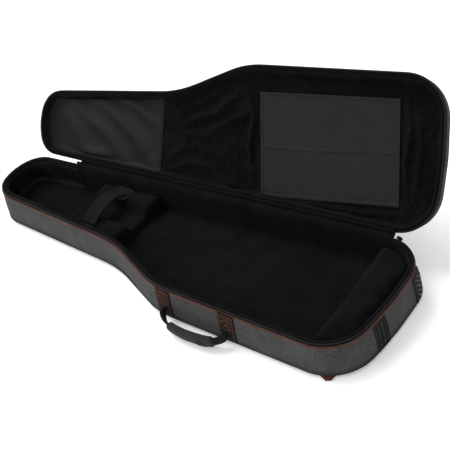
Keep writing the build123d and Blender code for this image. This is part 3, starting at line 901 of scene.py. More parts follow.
@dataclass
class Lid:
    """The padded lid: outer shell, plush inside with its guard sheets, pipings and zipper half."""

    loop: Loop
    hinge: Hinge
    top: float = 125.0
    inside: float = 111.5
    piping_height: float = 95.6
    head_guard_end: float = -165.0
    bridge_guard: tuple = (101.0, 436.0, -114.0, 109.0)
    head_pull: float = 12.0
    pull_from: float = -330.0
    pull_length: float = 205.0
    hem: float = 8.0

    def build(self) -> None:
        """Make every piece of the lid."""
        plan = self.loop.points.copy()
        share = (self.pull_from - plan[:, 0]) / self.pull_length
        plan[:, 0] += self.head_pull * np.clip(share, 0, 1.1) ** 1.6
        self.loop = Loop(plan, self.loop.normals, self.loop.arc)
        self.shell()
        self.lining()
        self.guards()
        self.pipings()
        self.zipper_half()

    def shell(self) -> None:
        """Outer fabric: side band and crowned top panel."""
        band = np.array([
            (-4.4, 89.8), (-3.2, 90.6), (-2.4, 95.0), (-1.9, 100.0), (-1.8, 106.0), (-2.6, 112.0), (-4.4, 117.5),
            (-6.6, 121.0), (-10.0, 123.4), (-17.0, 124.4), (-17.0, 116.0), (-9.0, 112.0), (-7.0, 92.0)])
        ring = self.hinge.opened(self.loop.ring(band))
        side = make_grid("lid_side", ring, OUTER, True, True)
        settle(side, Body.LID, "outer_fabric", "lid_side_wall", "lid_wall_foam")
        panel = Panel(self.loop, 13.0, 170, 48)
        crown = 3.2 * np.sin(np.clip(panel.edge / 90, 0, 1) * np.pi / 2)
        height = self.top - 1.0 + crown + 0.8 * ripple(panel.x, panel.y, 80, 4.4)
        front, back = (self.hinge.opened(panel.at(z)) for z in (height, height - 6))
        top = make_slab("lid_top", front, back, OUTER)
        settle(top, Body.LID, "outer_fabric", "lid_outer_panel", "lid_foam")

    def folds(self) -> tuple:
        """Soft folds of the plush where the neck widens into the body, and over the head guard."""
        return (
            Fold(((-158, -90), (-120, -62), (-50, -84), (40, -150)), 9, 8.0),
            Fold(((-158, -62), (-96, -34), (-20, -60), (70, -132)), 10, 9.0),
            Fold(((-156, -34), (-100, -6), (-30, -18), (60, -64), (92, -90)), 10, 8.0),
            Fold(((-156, 4), (-110, 12), (-50, -2), (30, -20)), 9, 6.0),
            Fold(((-156, 62), (-110, 26), (-60, 18), (10, 38), (84, 96)), 9, 8.0),
            Fold(((-150, 84), (-90, 58), (-20, 64), (50, 112), (120, 128)), 8, 8.0),
            Fold(((-20, 100), (60, 122), (180, 128), (320, 142)), 6, 7.0),
            Fold(((-500, -60), (-440, -20), (-390, 50)), 22, 9.0),
            Fold(((-478, -90), (-400, -40), (-330, 6), (-280, 66)), 20, 13.0),
            Fold(((-400, -88), (-320, -52), (-250, 0), (-200, 60)), 20, 12.0),
            Fold(((-300, -90), (-240, -60), (-180, -16)), 15, 9.0),
            Fold(((-430, 44), (-370, 60), (-300, 56)), 14, 6.0),
            Fold(((110, 130), (240, 122), (360, 130), (450, 124)), 6, 7.0),
            Fold(((90, -134), (180, -142), (300, -134), (420, -142)), 6, 6.0),
            Fold(((440, -130), (458, -60), (452, 20), (464, 96)), 7, 6.0),
            Fold(((470, -110), (484, -20), (478, 90)), 8, 5.0),
            Fold(((60, -110), (82, -60), (74, 10), (88, 80)), 7, 6.5),
        )

    def depth_at(self, x: Array, y: Array) -> Array:
        """Height of the inside surface at closed plan points; lower is nearer the instrument.

        Args:
            x: places along the closed lid.
            y: places across it.

        Returns:
            One height for each point.
        """
        rise = sum(fold.rise(x, y) for fold in self.folds())
        x0, x1, y0, y1 = self.bridge_guard
        inside = np.minimum(np.minimum(x - x0, x1 - x), np.minimum(y - y0, y1 - y))
        rise = rise * np.clip(-inside / 10, 0, 1)
        loose = np.clip(-inside / 16, 0, 1)
        creases = 1 - np.abs(ripple(x + 0.4 * y, y - 0.3 * x, 30, 6.1))
        body = np.clip((x + 170) / 20, 0, 1)
        crumple = 1.6 * ripple(x, y, 60, 9.9) + body * (1.9 * creases ** 4 + 0.5 * ripple(x, y, 14, 7.3))
        return self.inside - rise - loose * crumple

    def lining_profile(self) -> Array:
        """The lining's section at every station, from the zipper over the rim to the inside of the lid."""
        path = np.array([
            (-3.4, 93.0), (-3.6, 90.2), (-5.4, 88.9), (-8.5, 88.6), (-11.0, 89.4), (-12.6, 92.5), (-13.6, 98.0),
            (-15.0, 104.0), (-18.5, 108.6), (-24.0, 111.0), (-31.0, 113.0)])
        profile = np.repeat(path[None], len(self.loop.points), axis=0)
        x, y = self.loop.points.T
        loose = np.clip((path[:, 1] - 90) / 8, 0, 1) * np.clip((112 - path[:, 1]) / 4, 0, 1)
        for size, height, seed, lean in ((60, 2.6, 9.1, 0.6), (20, 1.4, 4.7, 1.2)):
            for k, (_, z) in enumerate(path):
                profile[:, k, 0] -= loose[k] * height * ripple(x + lean * z, y + 0.4 * z, size, seed)
        return profile

    def lining(self) -> None:
        """Plush over the lid's rim, down its side and across its inside."""
        profile = self.lining_profile()
        front, back = (self.hinge.opened(self.loop.ring(rows)) for rows in (profile, shifted(profile, -2.0)))
        band = make_slab("lid_side_plush", front, back, LINING, True)
        settle(band, Body.LID, "plush", "lid_wall_lining")
        panel = Panel(self.loop, 19.0, 420, 150)
        height = self.depth_at(panel.x, panel.y)
        front, back = (self.hinge.opened(panel.at(z)) for z in (height, height + 6))
        sheet = make_slab("lid_plush", front, back, LINING)
        settle(sheet, Body.LID, "plush", "lid_lining")

    def guards(self) -> None:
        """Nylon sheets sewn over the plush at the head and under the bridge."""
        s, r = np.meshgrid(np.linspace(0, 1, 150), np.linspace(0, 1, 104), indexing="ij")
        x, y = self.on_guard(s, r)
        x0, x1, y0, y1 = self.bridge_guard
        edge = np.minimum(np.minimum(s, 1 - s) * (x1 - x0), np.minimum(r, 1 - r) * (y1 - y0))
        from_fold = (r - 0.52 - 0.01 * np.sin(s * 5)) * (y1 - y0)
        crease = 1.3 * np.exp(-(from_fold / 2.4) ** 2) * np.clip(edge / 10, 0, 1)
        hem = 0.9 * np.exp(-((edge - 4) / 3) ** 2) - 0.9 * np.exp(-((edge - 8) / 1.6) ** 2)
        pucker = 0.5 * np.sin((s * (x1 - x0) + r * (y1 - y0)) / 2.6) * np.exp(-((edge - 8) / 5) ** 2)
        loose = np.clip((edge - 8) / 30, 0, 1)
        wave = 1.6 * ripple(x, y, 90, 3.9) + 0.7 * ripple(x + y, y - x, 45, 1.9)
        swell = 1.2 + loose * wave + hem + pucker * 0.5
        height = self.inside - 1.6 - swell - crease
        front, back = (self.hinge.opened(np.stack([x, y, z], axis=2)) for z in (height, height + 0.9))
        sheet = make_slab("bridge_guard", front, back, NYLON)
        settle(sheet, Body.LID, "nylon_guard", "lid_bridge_guard")
        self.guard_seam(s, r, height)
        head = Panel(self.loop, 22.0, 420, 110)
        keep = int((head.x[:, 0] < self.head_guard_end).sum())
        x, y = head.x[:keep], head.y[:keep]
        height = self.depth_at(x, y) - 1.6
        front, back = (self.hinge.opened(np.stack([x, y, z], axis=2)) for z in (height, height + 0.9))
        sheet = make_slab("head_guard", front, back, DARK_NYLON)
        settle(sheet, Body.LID, "nylon_guard", "lid_head_guard")
        area = float(((y[1:, -1] - y[1:, 0]) * np.diff(x[:, 0])).sum()) * MM * MM
        end = np.stack([x[-1] - 5, y[-1], height[-1] - 0.4], axis=1)
        up = self.hinge.opened(end - (0, 0, 1)) - self.hinge.opened(end)
        row = stitches(self.hinge.opened(end), up, 3.6, 2.0, 0.5)
        settle(make_mesh("head_guard_stitching", *row, DARK_THREAD), Body.LID, "nylon_guard")
        profile = shifted(self.lining_profile(), 1.2)[:, 5:]
        stop = np.where(self.loop.points[:, 0] < self.head_guard_end)[0]
        piece = slice(stop[0], stop[-1] + 1)
        layers = (profile, shifted(profile, -0.9))
        front, back = (self.hinge.opened(self.loop.ring(rows)[piece]) for rows in layers)
        band = make_slab("head_guard_side", front, back, DARK_NYLON)
        settle(band, Body.LID, "nylon_guard")
        cut_size(front)

    def on_guard(self, s: Array, r: Array) -> tuple[Array, Array]:
        """Plan points of the bridge guard, cut slightly out of square.

        Args:
            s: share of the way from its head end to its tail end.
            r: share of the way from its front side to its far side.

        Returns:
            Places along and across the closed lid.
        """
        x0, x1, y0, y1 = self.bridge_guard
        corners = np.array([(x0 - 10, y0), (x1 - 8, y0 - 2), (x0 + 11, y1 + 8), (x1 + 9, y1 - 1)], float)
        weights = ((1 - s) * (1 - r), s * (1 - r), (1 - s) * r, s * r)
        return tuple(sum(w * corner[k] for w, corner in zip(weights, corners)) for k in (0, 1))

    def guard_seam(self, s: Array, r: Array, height: Array) -> None:
        """Stitches round the bridge guard, just inside its hem.

        Args:
            s: the guard grid's shares from its head end to its tail end.
            r: its shares from the front side to the far side.
            height: the guard's surface over that grid.
        """
        x0, x1, y0, y1 = self.bridge_guard
        a, b = self.hem / (x1 - x0), self.hem / (y1 - y0)
        nodes = np.array([(a, b), (1 - a, b), (1 - a, 1 - b), (a, 1 - b), (a, b)])
        line = spaced(nodes, 500)
        rows, cols = s.shape
        i = np.clip(np.rint(line[:, 0] * (rows - 1)).astype(int), 0, rows - 1)
        j = np.clip(np.rint(line[:, 1] * (cols - 1)).astype(int), 0, cols - 1)
        x, y = self.on_guard(line[:, 0], line[:, 1])
        seam = np.stack([x, y, height[i, j]], axis=1)
        up = self.hinge.opened(seam - (0, 0, 1)) - self.hinge.opened(seam)
        row = stitches(self.hinge.opened(seam), up, 3.6, 2.0, 0.5)
        settle(make_mesh("bridge_guard_stitching", *row, DARK_THREAD), Body.LID, "nylon_guard")

    def pipings(self) -> None:
        """Black cord at the lid's rim and round its top edge."""
        for name, node, offset, height in (("lid_rim_cord", "lid_rim_piping", -1.8, self.piping_height),
                                           ("lid_edge_cord", "lid_edge_piping", -5.6, 120.8)):
            points, faces = tube(self.hinge.opened(self.loop.line(offset, height)), 1.7, 8, True)
            settle(make_mesh(name, points, faces, BINDING), Body.LID, "dark_piping", node)

    def zipper_half(self) -> None:
        """Black tape and coil teeth along the lid's rim."""
        path = np.array([(-1.9, 94.6), (-1.4, 92.6), (-1.9, 89.8), (-3.4, 89.4), (-3.6, 92.6), (-3.2, 94.6)])
        track = ZipperTrack(self.loop)
        tape = make_grid("lid_tape", self.hinge.opened(track.ring(path)), TAPE, False, True)
        settle(tape, Body.LID, "zipper_tape", "lid_zipper_tape")
        points, faces = track.teeth(-2.4, 89.4, -1.0)
        teeth = make_mesh("lid_teeth", self.hinge.opened(points), faces, COIL)
        settle(teeth, Body.LID, "zipper_coil", "lid_zipper_coil")


def smooth_path(nodes: Array, count: int = 60) -> Array:
    """Evenly spaced points on a smooth curve through some points."""
    nodes = np.asarray(nodes, float)
    ends = np.vstack([2 * nodes[0] - nodes[1], nodes, 2 * nodes[-1] - nodes[-2]])
    dense = []
    for a, b, c, d in zip(ends[:-3], ends[1:-2], ends[2:-1], ends[3:]):
        for t in np.linspace(0, 1, 12, endpoint=False):
            dense.append(0.5 * (2 * b + (c - a) * t + (2 * a - 5 * b + 4 * c - d) * t ** 2
                                + (3 * b - a - 3 * c + d) * t ** 3))
    dense = np.array(dense + [nodes[-1]])
    return spaced(dense, count)


def spaced(line: Array, count: int) -> Array:
    """The same line with evenly spaced points."""
    run = np.r_[0, np.cumsum(np.linalg.norm(np.diff(line, axis=0), axis=1))]
    where = np.linspace(0, run[-1], count)
    return np.stack([np.interp(where, run, line[:, k]) for k in range(line.shape[1])], axis=1)


def ribbon(path: Array, across: Array, widths: Array, thick: float, arch: float = 0.0) -> Array:
    """A closed flat strap along a path.

    Args:
        path: (n, 3) points of its middle.
        across: (3,) or (n, 3) direction of its width.
        widths: width at each point, or one width.
        thick: its thickness.
        arch: how far its middle stands above its edges.

    Returns:
        (n, columns, 3) grid whose columns wrap round.
    """
    path = np.asarray(path, float)
    across = np.broadcast_to(np.asarray(across, float), path.shape)
    ahead = np.gradient(path, axis=0)
    over = np.cross(ahead, across)
    over /= np.linalg.norm(over, axis=1)[:, None]
    half = np.broadcast_to(np.asarray(widths, float), (len(path),)) / 2
    section = [(-1, -0.5), (-0.5, -0.5), (0, -0.5), (0.5, -0.5), (1, -0.5), (1.0, 0.5), (0.5, 0.5), (0, 0.5),
               (-0.5, 0.5), (-1.0, 0.5)]
    rows = [path + across * half[:, None] * u + over * (v * thick + arch * (1 - u * u)) for u, v in section]
    return np.stack(rows, axis=1)


def rounded_box(low: tuple, high: tuple, radius: float, spacing: float = 5.0) -> Array:
    """Evenly spaced points of a rectangle with rounded corners, anticlockwise.

    Args:
        low: its lowest corner.
        high: its highest corner.
        radius: radius of its corners.
        spacing: distance between points.

    Returns:
        (n, 2) points.
    """
    (x0, y0), (x1, y1) = low, high
    points = []
    for x, y, start in ((x1 - radius, y1 - radius, 0), (x0 + radius, y1 - radius, 90),
                        (x0 + radius, y0 + radius, 180), (x1 - radius, y0 + radius, 270)):
        for angle in np.radians(np.linspace(start, start + 90, 10)):
            points.append((x + radius * math.cos(angle), y + radius * math.sin(angle)))
    ring = np.array(points + points[:1])
    return spaced(ring, int(np.linalg.norm(np.diff(ring, axis=0), axis=1).sum() / spacing))[:-1]


def cushion(edge: Array, low: float, high: float, soft: float, crown: float, top_soft: float = 0.0) -> tuple:
    """A closed pad with softly rounded sides and a crowned top over an outline.

    Args:
        edge: (n, 2) outline, anticlockwise.
        low: height of its underside.
        high: height of its upper edge.
        soft: how round its lower edge is.
        crown: how far its middle stands above its edge.
        top_soft: how round its upper edge is, when that differs.

    Returns:
        Points and faces.
    """
    top_soft = top_soft or soft
    ahead = np.roll(edge, -1, axis=0) - np.roll(edge, 1, axis=0)
    out = np.stack([ahead[:, 1], -ahead[:, 0]], axis=1)
    out = eased(out / np.linalg.norm(out, axis=1)[:, None], 2)
    middle = edge.mean(axis=0)
    turns = np.radians(np.linspace(0, 90, 5))
    rows = [(soft * (1 - math.cos(a)), low + soft * (1 - math.sin(a))) for a in turns[::-1]]
    rows += [(top_soft * (1 - math.cos(a)), high - top_soft * (1 - math.sin(a))) for a in turns]
    count = len(edge)
    under = [(s, low) for s in (0.12, 0.5, 0.85)]
    over = [(s, high + crown * (1 - s * s)) for s in (0.93, 0.82, 0.68, 0.52, 0.36, 0.2, 0.08)]
    grid = []
    base, cap = edge - out * rows[0][0], edge - out * rows[-1][0]
    grid += [np.c_[middle + (base - middle) * s, np.full(count, z)] for s, z in under]
    grid += [np.c_[edge - out * gap, np.full(count, z)] for gap, z in rows]
    grid += [np.c_[middle + (cap - middle) * s, np.full(count, z)] for s, z in over]
    points = np.array(grid)
    faces = grid_faces(len(grid), count, False, True)
    faces += [tuple(range(count))[::-1], tuple((len(grid) - 1) * count + k for k in range(count))]
    return points.reshape(-1, 3), faces


def fill_with_air(piece: bpy.types.Object, voxel: float, pressure: float, most: float) -> None:
    """Swell a closed pad like stuffed fabric with a short cloth simulation.

    Args:
        piece: the closed mesh.
        voxel: size of its even remesh in millimetres.
        pressure: pressure inside it.
        most: the furthest that any point may move, in millimetres.
    """
    even = piece.modifiers.new("even", "REMESH")
    even.mode = "VOXEL"
    even.voxel_size = voxel * MM
    apply_modifiers(piece)
    count = len(piece.data.vertices)
    before = np.empty(count * 3)
    piece.data.vertices.foreach_get("co", before)
    cloth = piece.modifiers.new("cloth", "CLOTH")
    cloth.settings.quality = 4
    cloth.settings.use_pressure = True
    cloth.settings.uniform_pressure_force = pressure
    cloth.settings.effector_weights.gravity = 0
    cloth.point_cache.frame_start = 1
    cloth.point_cache.frame_end = 20
    for step in range(1, 21):
        bpy.context.scene.frame_set(step)
    depsgraph = bpy.context.evaluated_depsgraph_get()
    swollen = piece.evaluated_get(depsgraph).data
    after = np.empty(count * 3)
    swollen.vertices.foreach_get("co", after)
    bpy.context.scene.frame_set(1)
    piece.modifiers.clear()
    before, after = before.reshape(-1, 3), after.reshape(-1, 3)
    move = after - before
    length = np.linalg.norm(move, axis=1)[:, None]
    move *= np.minimum(1, most * MM / np.maximum(length, 1e-9))
    piece.data.vertices.foreach_set("co", (before + move).ravel())
    finer = piece.modifiers.new("finer", "SUBSURF")
    finer.levels = 1
    apply_modifiers(piece)
    piece.data.polygons.foreach_set("use_smooth", [True] * len(piece.data.polygons))


@dataclass
class TrayPads:
    """Neck cradle with its strap, and the thick pad at the tail."""

    loop: Loop
    cradle_x: tuple = (-305.0, -140.0)
    cradle_top: float = 63.0
    groove: tuple = (-28.0, 32.0)
    groove_depth: float = 20.0
    strap_x: tuple = (-256.0, -216.0)
    tail_x: float = 438.0
    tail_top: float = 79.0
    tail_skew: float = 0.045

    def build(self) -> None:
        """Make the cradle, the strap and the tail pad."""
        self.cradle()
        self.strap()
        self.tail_pad()

    def cradle(self) -> None:
        """Two plush blocks joined under a soft groove for the neck."""
        front, far = self.loop.sides(16.5)
        x0, x1 = self.cradle_x
        steps = np.array([0, 1.2, 4, 9])
        stations = np.r_[x0 + steps, np.linspace(x0 + 15, x1 - 15, 34), x1 - steps[::-1]]
        s = np.linspace(0, 1, 70)
        rows = []
        for x in stations:
            low = np.interp(x, front[:, 0], front[:, 1])
            high = np.interp(x, far[:, 0], far[:, 1])
            y = low + (high - low) * s
            wall = np.minimum(y - low, high - y)
            side = np.clip(wall / 9, 0, 1)
            crown = 1.6 * np.sin(np.clip(wall / 30, 0, 1) * 1.57)
            z = self.cradle_top - 9 * (1 - np.sqrt(1 - (1 - side) ** 2)) + crown
            blend = (np.tanh((y - self.groove[0]) / 5) - np.tanh((y - self.groove[1]) / 5)) / 2
            z = z - self.groove_depth * np.clip(blend, 0, 1)
            end = min(1.0, min(x - x0, x1 - x) / 10)
            z = z - 10 * (1 - math.sqrt(1 - (1 - end) ** 2))
            ys, xs = y, np.full(len(y), x)
            z = z + (1.0 * ripple(xs, ys, 34, 2.7) + 0.4 * ripple(xs, ys, 12, 7.7)) * end
            top = np.stack([xs, ys, z], axis=1)
            under = np.stack([xs, ys, np.full(len(y), 24.0)], axis=1)[::-1]
            rows.append(np.vstack([top, under]))
        pad = make_grid("neck_cradle_pad", np.array(rows), LINING, False, True)
        settle(pad, Body.BASE, "plush", "neck_cradle")

    def strap(self) -> None:
        """Wide strap from its sewn root over the neck to a free end on its patch."""
        x0, x1 = self.strap_x
        middle = (x0 + x1) / 2
        arch = smooth_path([(middle, y, z) for y, z in (
            (-64, 67.2), (-56, 71), (-44, 77.4), (-24, 83.6), (0, 86.2), (22, 83.8), (38, 76.4), (48, 69.8),
            (58, 67.4), (74, 67.2))], 70)
        ends = np.minimum(1, np.minimum(np.arange(70)[::-1], 60) / 3.0)
        widths = 40 * np.sqrt(np.clip(1 - (1 - ends) ** 2, 0.35, 1))
        band = make_grid("neck_strap_band", ribbon(arch, (1, 0, 0), widths, 2.2, 0.5), WEBBING, False, True)
        settle(band, Body.NECK_STRAP, "webbing", "neck_strap")
        rows = []
        for x in (x0 + 3, x1 - 3):
            line = arch.copy()[2:-2]
            line[:, 0] = x
            over = np.cross(np.gradient(line, axis=0), (1, 0, 0))
            over /= -np.linalg.norm(over, axis=1)[:, None]
            rows.append(stitches(line + over * 1.15, over, 3.4, 1.8, 0.4))
        settle(make_mesh("neck_strap_stitching", *joined(rows), DARK_THREAD), Body.NECK_STRAP, "webbing")
        points, faces = cushion(rounded_box((x0 - 2, -82), (x1 + 2, -68), 2, 2.5), 63.6, 66.6, 1.0, 0.3)
        settle(make_mesh("strap_root", points, faces, WEBBING), Body.BASE, "webbing", "neck_strap_root")
        points, faces = cushion(rounded_box((x0 - 3, 34), (x1 + 3, 73), 4, 2.5), 63.4, 65.8, 0.8, 0.1)
        settle(make_mesh("loop_patch", points, faces, HOOK), Body.BASE, "hook_loop", "strap_loop_patch")

    def tail_pad(self) -> None:
        """Thick plush crescent that the body's end rests on."""
        plan = self.loop.points - self.loop.normals * 16.0
        keep = plan[plan[:, 0] > self.tail_x - self.tail_skew * plan[:, 1]]
        back = np.array([keep[-1] + (keep[0] - keep[-1]) * s for s in np.linspace(0.03, 0.97, 50)])
        ring = np.vstack([keep, back])
        ring = eased(spaced(np.vstack([ring, ring[:1]]), 150)[:-1], 3)
        points, faces = cushion(ring, 25.5, self.tail_top - 3.0, 6.0, 5.0, 11.0)
        pad = make_mesh("tail_cushion", points, faces, LINING)
        fill_with_air(pad, 5.0, 4.0, 5.0)
        settle(pad, Body.BASE, "plush", "tail_pad")


@dataclass
class FabricHinge:
    """The cloth that joins base and lid along the far side."""

    hinge: Hinge
    start: float = -389.0
    end: float = 450.0

    def build(self) -> None:
        """Make the plush inside and the woven outside of the hinge."""
        inside = [(-14.5, -1.6), (-11.5, 0.5), (-8.0, 1.3), (-4.0, 1.4), (0.0, 2.2), (3.6, 4.8), (6.4, 8.4), (8.4, 11.8),
                  (9.4, 14.2), (8.2, 14.8), (7.0, 12.4), (5.0, 9.3), (2.6, 6.2), (-0.8, 4.0), (-4.4, 3.2),
                  (-8.4, 3.0), (-12.2, 2.0), (-15.4, -0.6)]
        outside = [(-7.4, -4.4), (-6.0, -2.0), (-2.6, -1.6), (0.6, -1.0), (2.8, 0.6), (4.2, 2.8), (6.6, 6.0),
                   (8.0, 5.2), (5.8, 1.8), (4.0, -0.8), (1.2, -2.6), (-2.4, -3.2), (-4.8, -3.6), (-6.2, -5.2)]
        self.strip("hinge_plush", inside, LINING, "plush")
        self.strip("hinge_fabric", outside, OUTER, "outer_fabric", "hinge_gusset")
        turn = np.linspace(0, 2 * math.pi, 12, endpoint=False)
        roll = [(3.4 + 3.6 * math.cos(a), 7.2 + 3.2 * math.sin(a)) for a in turn]
        self.strip("hinge_roll", roll, LINING, "plush")

    def strip(self, name: str, section: list, finish: Finish, slot: str, *stands_for: str) -> None:
        """One closed strip of cloth along the hinge line between the base and the lid.

        Args:
            name: the piece's name.
            section: its closed section, outward and up from the hinge line.
            finish: what it is made of.
            slot: the record's material slot; not used.
            stands_for: CAD nodes that it replaces.
        """
        rows = []
        for x in np.linspace(self.start, self.end, 170):
            sway = 1.1 * soft_noise.noise(Vector((x / 35, len(section) / 3, 2.0)))
            rows.append([self.hinge.local(x, out, up + sway) for out, up in section])
        piece = make_grid(name, np.array(rows), finish, False, True)
        start = self.hinge.local(0.0, -6.5, -1.0) * MM
        end = self.hinge.local(0.0, 6.5, 7.5) * MM
        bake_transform(piece)
        if stands_for:
            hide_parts(*stands_for)
        around = np.array(rows)
        width, length = cut_size(np.concatenate([around, around[:, :1]], axis=1))
        LOG.info("%s bends over the hinge, %d faces", name, len(piece.data.polygons))


@dataclass
class CarryHandle:
    """Webbing handle with a padded grip, on two tabs sewn to the front wall."""

    loop: Loop
    tray: BaseTray
    tab_x: tuple = (85.0, 255.0)
    tab_width: float = 38.0
    tab_z: tuple = (9.8, 78.5)
    pivot: tuple = (170.0, -178.561, 31.0)
    droop: float = 20.0
    reach: float = 36.0
    grip_x: tuple = (-52.0, 66.0)

    def build(self) -> None:
        """Make the tabs, the loop and the grip."""
        for side, x in zip(("head", "tail"), self.tab_x):
            self.tab(side, x)
        self.webbing()
        self.grip()

    def on_wall(self, x: float, across: Array, height: Array, proud: float) -> Array:
        """Points on the front wall.

        Args:
            x: place along the bag.
            across: distances from there along the wall.
            height: heights above the floor.
            proud: how far outside the wall.

        Returns:
            (n, 3) points.
        """
        across, height = np.broadcast_arrays(np.asarray(across, float), np.asarray(height, float))
        offset = self.tray.surface(height) + proud
        arcs = self.loop.front_at(x) + across
        return self.loop.patch(arcs, np.stack([offset, height], axis=1)[:, None, :])[:, 0]

    def tab(self, side: str, x: float) -> None:
        """A webbing tab with rust edge stitching and a crossed box.

        Args:
            side: which tab.
            x: its place along the bag.
        """
        half = self.tab_width / 2
        arcs = self.loop.front_at(x) + np.linspace(-half, half, 12)
        z = np.linspace(*self.tab_z, 20)
        wall = self.tray.surface(z)
        outer = np.stack([wall + 2.7, z], axis=1)
        inner = np.stack([wall - 0.4, z], axis=1)[::-1]
        patch = self.loop.patch(arcs, np.vstack([outer, inner]))
        slab = make_grid("tab_" + side, patch, WEBBING, False, True)
        settle(slab, Body.BASE, "webbing", "handle_tab_" + side)
        box, mid = 11.5, 53.0
        lines = [((-box, mid - box), (box, mid - box)), ((box, mid - box), (box, mid + box)),
                 ((box, mid + box), (-box, mid + box)), ((-box, mid + box), (-box, mid - box)),
                 ((-box, mid - box), (box, mid + box)), ((-box, mid + box), (box, mid - box)),
                 ((-half + 2.2, 11), (-half + 2.2, 77)), ((half - 2.2, 11), (half - 2.2, 77)),
                 ((-half + 3, 75), (half - 3, 75)), ((-half + 3, 70), (half - 3, 70))]
        rows = []
        for (u0, z0), (u1, z1) in lines:
            path = self.on_wall(x, np.linspace(u0, u1, 10), np.linspace(z0, z1, 10), 2.75)
            rows.append(stitches(path, np.repeat([[0.0, -1.0, 0.1]], 10, axis=0), 3.2, 1.8, 0.44))
        settle(make_mesh("tab_stitching_" + side, *joined(rows), THREAD), Body.BASE, "webbing")

    def placed(self, points: Array) -> Array:
        """Points of the level handle, drooped about its pivot."""
        points = np.asarray(points, float)
        c, s = math.cos(math.radians(self.droop)), math.sin(math.radians(self.droop))
        x, y, z = np.moveaxis(points, -1, 0)
        turned = np.stack([x, y * c - z * s, y * s + z * c], axis=-1)
        return turned + np.array(self.pivot)

    def centre_line(self, count: int) -> Array:
        """The handle's middle line before it droops."""
        r = self.reach
        nodes = [(-85, 0, 0), (-84, -r * 0.22, 0), (-79, -r * 0.48, 0), (-67, -r * 0.74, 0), (-46, -r * 0.92, 0),
                 (-16, -r * 1.02, 0), (16, -r * 1.0, 0), (46, -r * 0.90, 0), (66, -r * 0.74, 0),
                 (79, -r * 0.46, 0), (84, -r * 0.22, 0), (85, 0, 0)]
        return smooth_path(np.array(nodes, float), count)

    def webbing(self) -> None:
        """The loop, folded narrow where it passes through its tabs."""
        line = self.centre_line(110)
        run = np.linalg.norm(line[:, :2] - line[0, :2], axis=1)
        run = np.minimum(run, run[::-1])
        widths = np.interp(run, [0, 6, 12, 20], [6, 13, 22, 24])
        grid = ribbon(line, (0, 0, 1), widths, 4.6, 0.6)
        loop = make_grid("handle_loop", self.placed(grid), WEBBING, False, True)
        settle(loop, Body.HANDLE, "webbing", "handle_webbing")
        rows = []
        for up in (-9.0, 9.0):
            for part in (slice(16, 30), slice(80, 94)):
                path = line[part] + (0, 0, up)
                out = np.cross(np.gradient(path, axis=0), (0, 0, -1))
                out /= np.linalg.norm(out, axis=1)[:, None]
                out *= np.sign(-out[:, 1])[:, None]
                rows.append(stitches(self.placed(path + out * 2.5), out, 3.2, 1.4, 0.5))
        settle(make_mesh("handle_stitching", *joined(rows), DARK_THREAD), Body.HANDLE, "webbing")

    def grip(self) -> None:
        """A soft sleeve round the middle of the loop, with moulded ridges near its tail end."""
        line = self.centre_line(200)
        line = spaced(line[(line[:, 0] > self.grip_x[0]) & (line[:, 0] < self.grip_x[1])], 80)
        ahead = np.gradient(line, axis=0)
        side = np.cross(ahead, (0, 0, 1))
        side /= np.linalg.norm(side, axis=1)[:, None]
        turn = np.linspace(0, 2 * np.pi, 28, endpoint=False)
        place = np.linspace(-1, 1, 80)
        swell = 1 - 0.36 * np.clip((np.abs(place) - 0.88) / 0.12, 0, 1) ** 2 + 0.05 * np.cos(place * 2.2)
        c, s = np.cos(turn), np.sin(turn)
        wide = np.sign(c) * np.abs(c) ** 0.75 * 14.5
        thick = np.sign(s) * np.abs(s) ** 0.75 * 9.4
        grid = (line[:, None] + np.array([0, 0, 1.0]) * (wide[None, :, None] * swell[:, None, None])
                + side[:, None] * (thick[None] * swell[:, None])[:, :, None])
        sleeve = make_grid("grip_sleeve", self.placed(grid), GRIP, False, True)
        settle(sleeve, Body.HANDLE, "grip_fabric", "handle_grip")
        parts = []
        for spot in (0.42, 0.52, 0.62, 0.72):
            at = int((spot + 1) / 2 * 79)
            arc = np.linspace(-1.15, 1.15, 12)
            ridge = [line[at] + np.array([0, 0, 1.0]) * math.sin(a) * 14.2 * 0.75
                     + side[at] * self.outward_sign(side[at]) * (9.5 * math.cos(a) ** 0.4 + 0.8) for a in arc]
            parts.append(tube(self.placed(ridge), 1.5, 8, up=(1, 0, 0)))
        settle(make_mesh("grip_ridges", *joined(parts), RUBBER), Body.HANDLE, "grip_fabric")
        seam = line + np.array([0, 0, 14.4])
        seam = self.placed(seam[6:-6])
        out = np.repeat([[0, 0.3, 0.95]], len(seam), axis=0)
        row = stitches(seam, out, 3.4, 1.8, 0.45)
        settle(make_mesh("grip_seam", *row, DARK_THREAD), Body.HANDLE, "grip_fabric")

    def outward_sign(self, side: Array) -> float:
        """Which way along a direction leads away from the bag."""
        return -1.0 if side[1] > 0 else 1.0


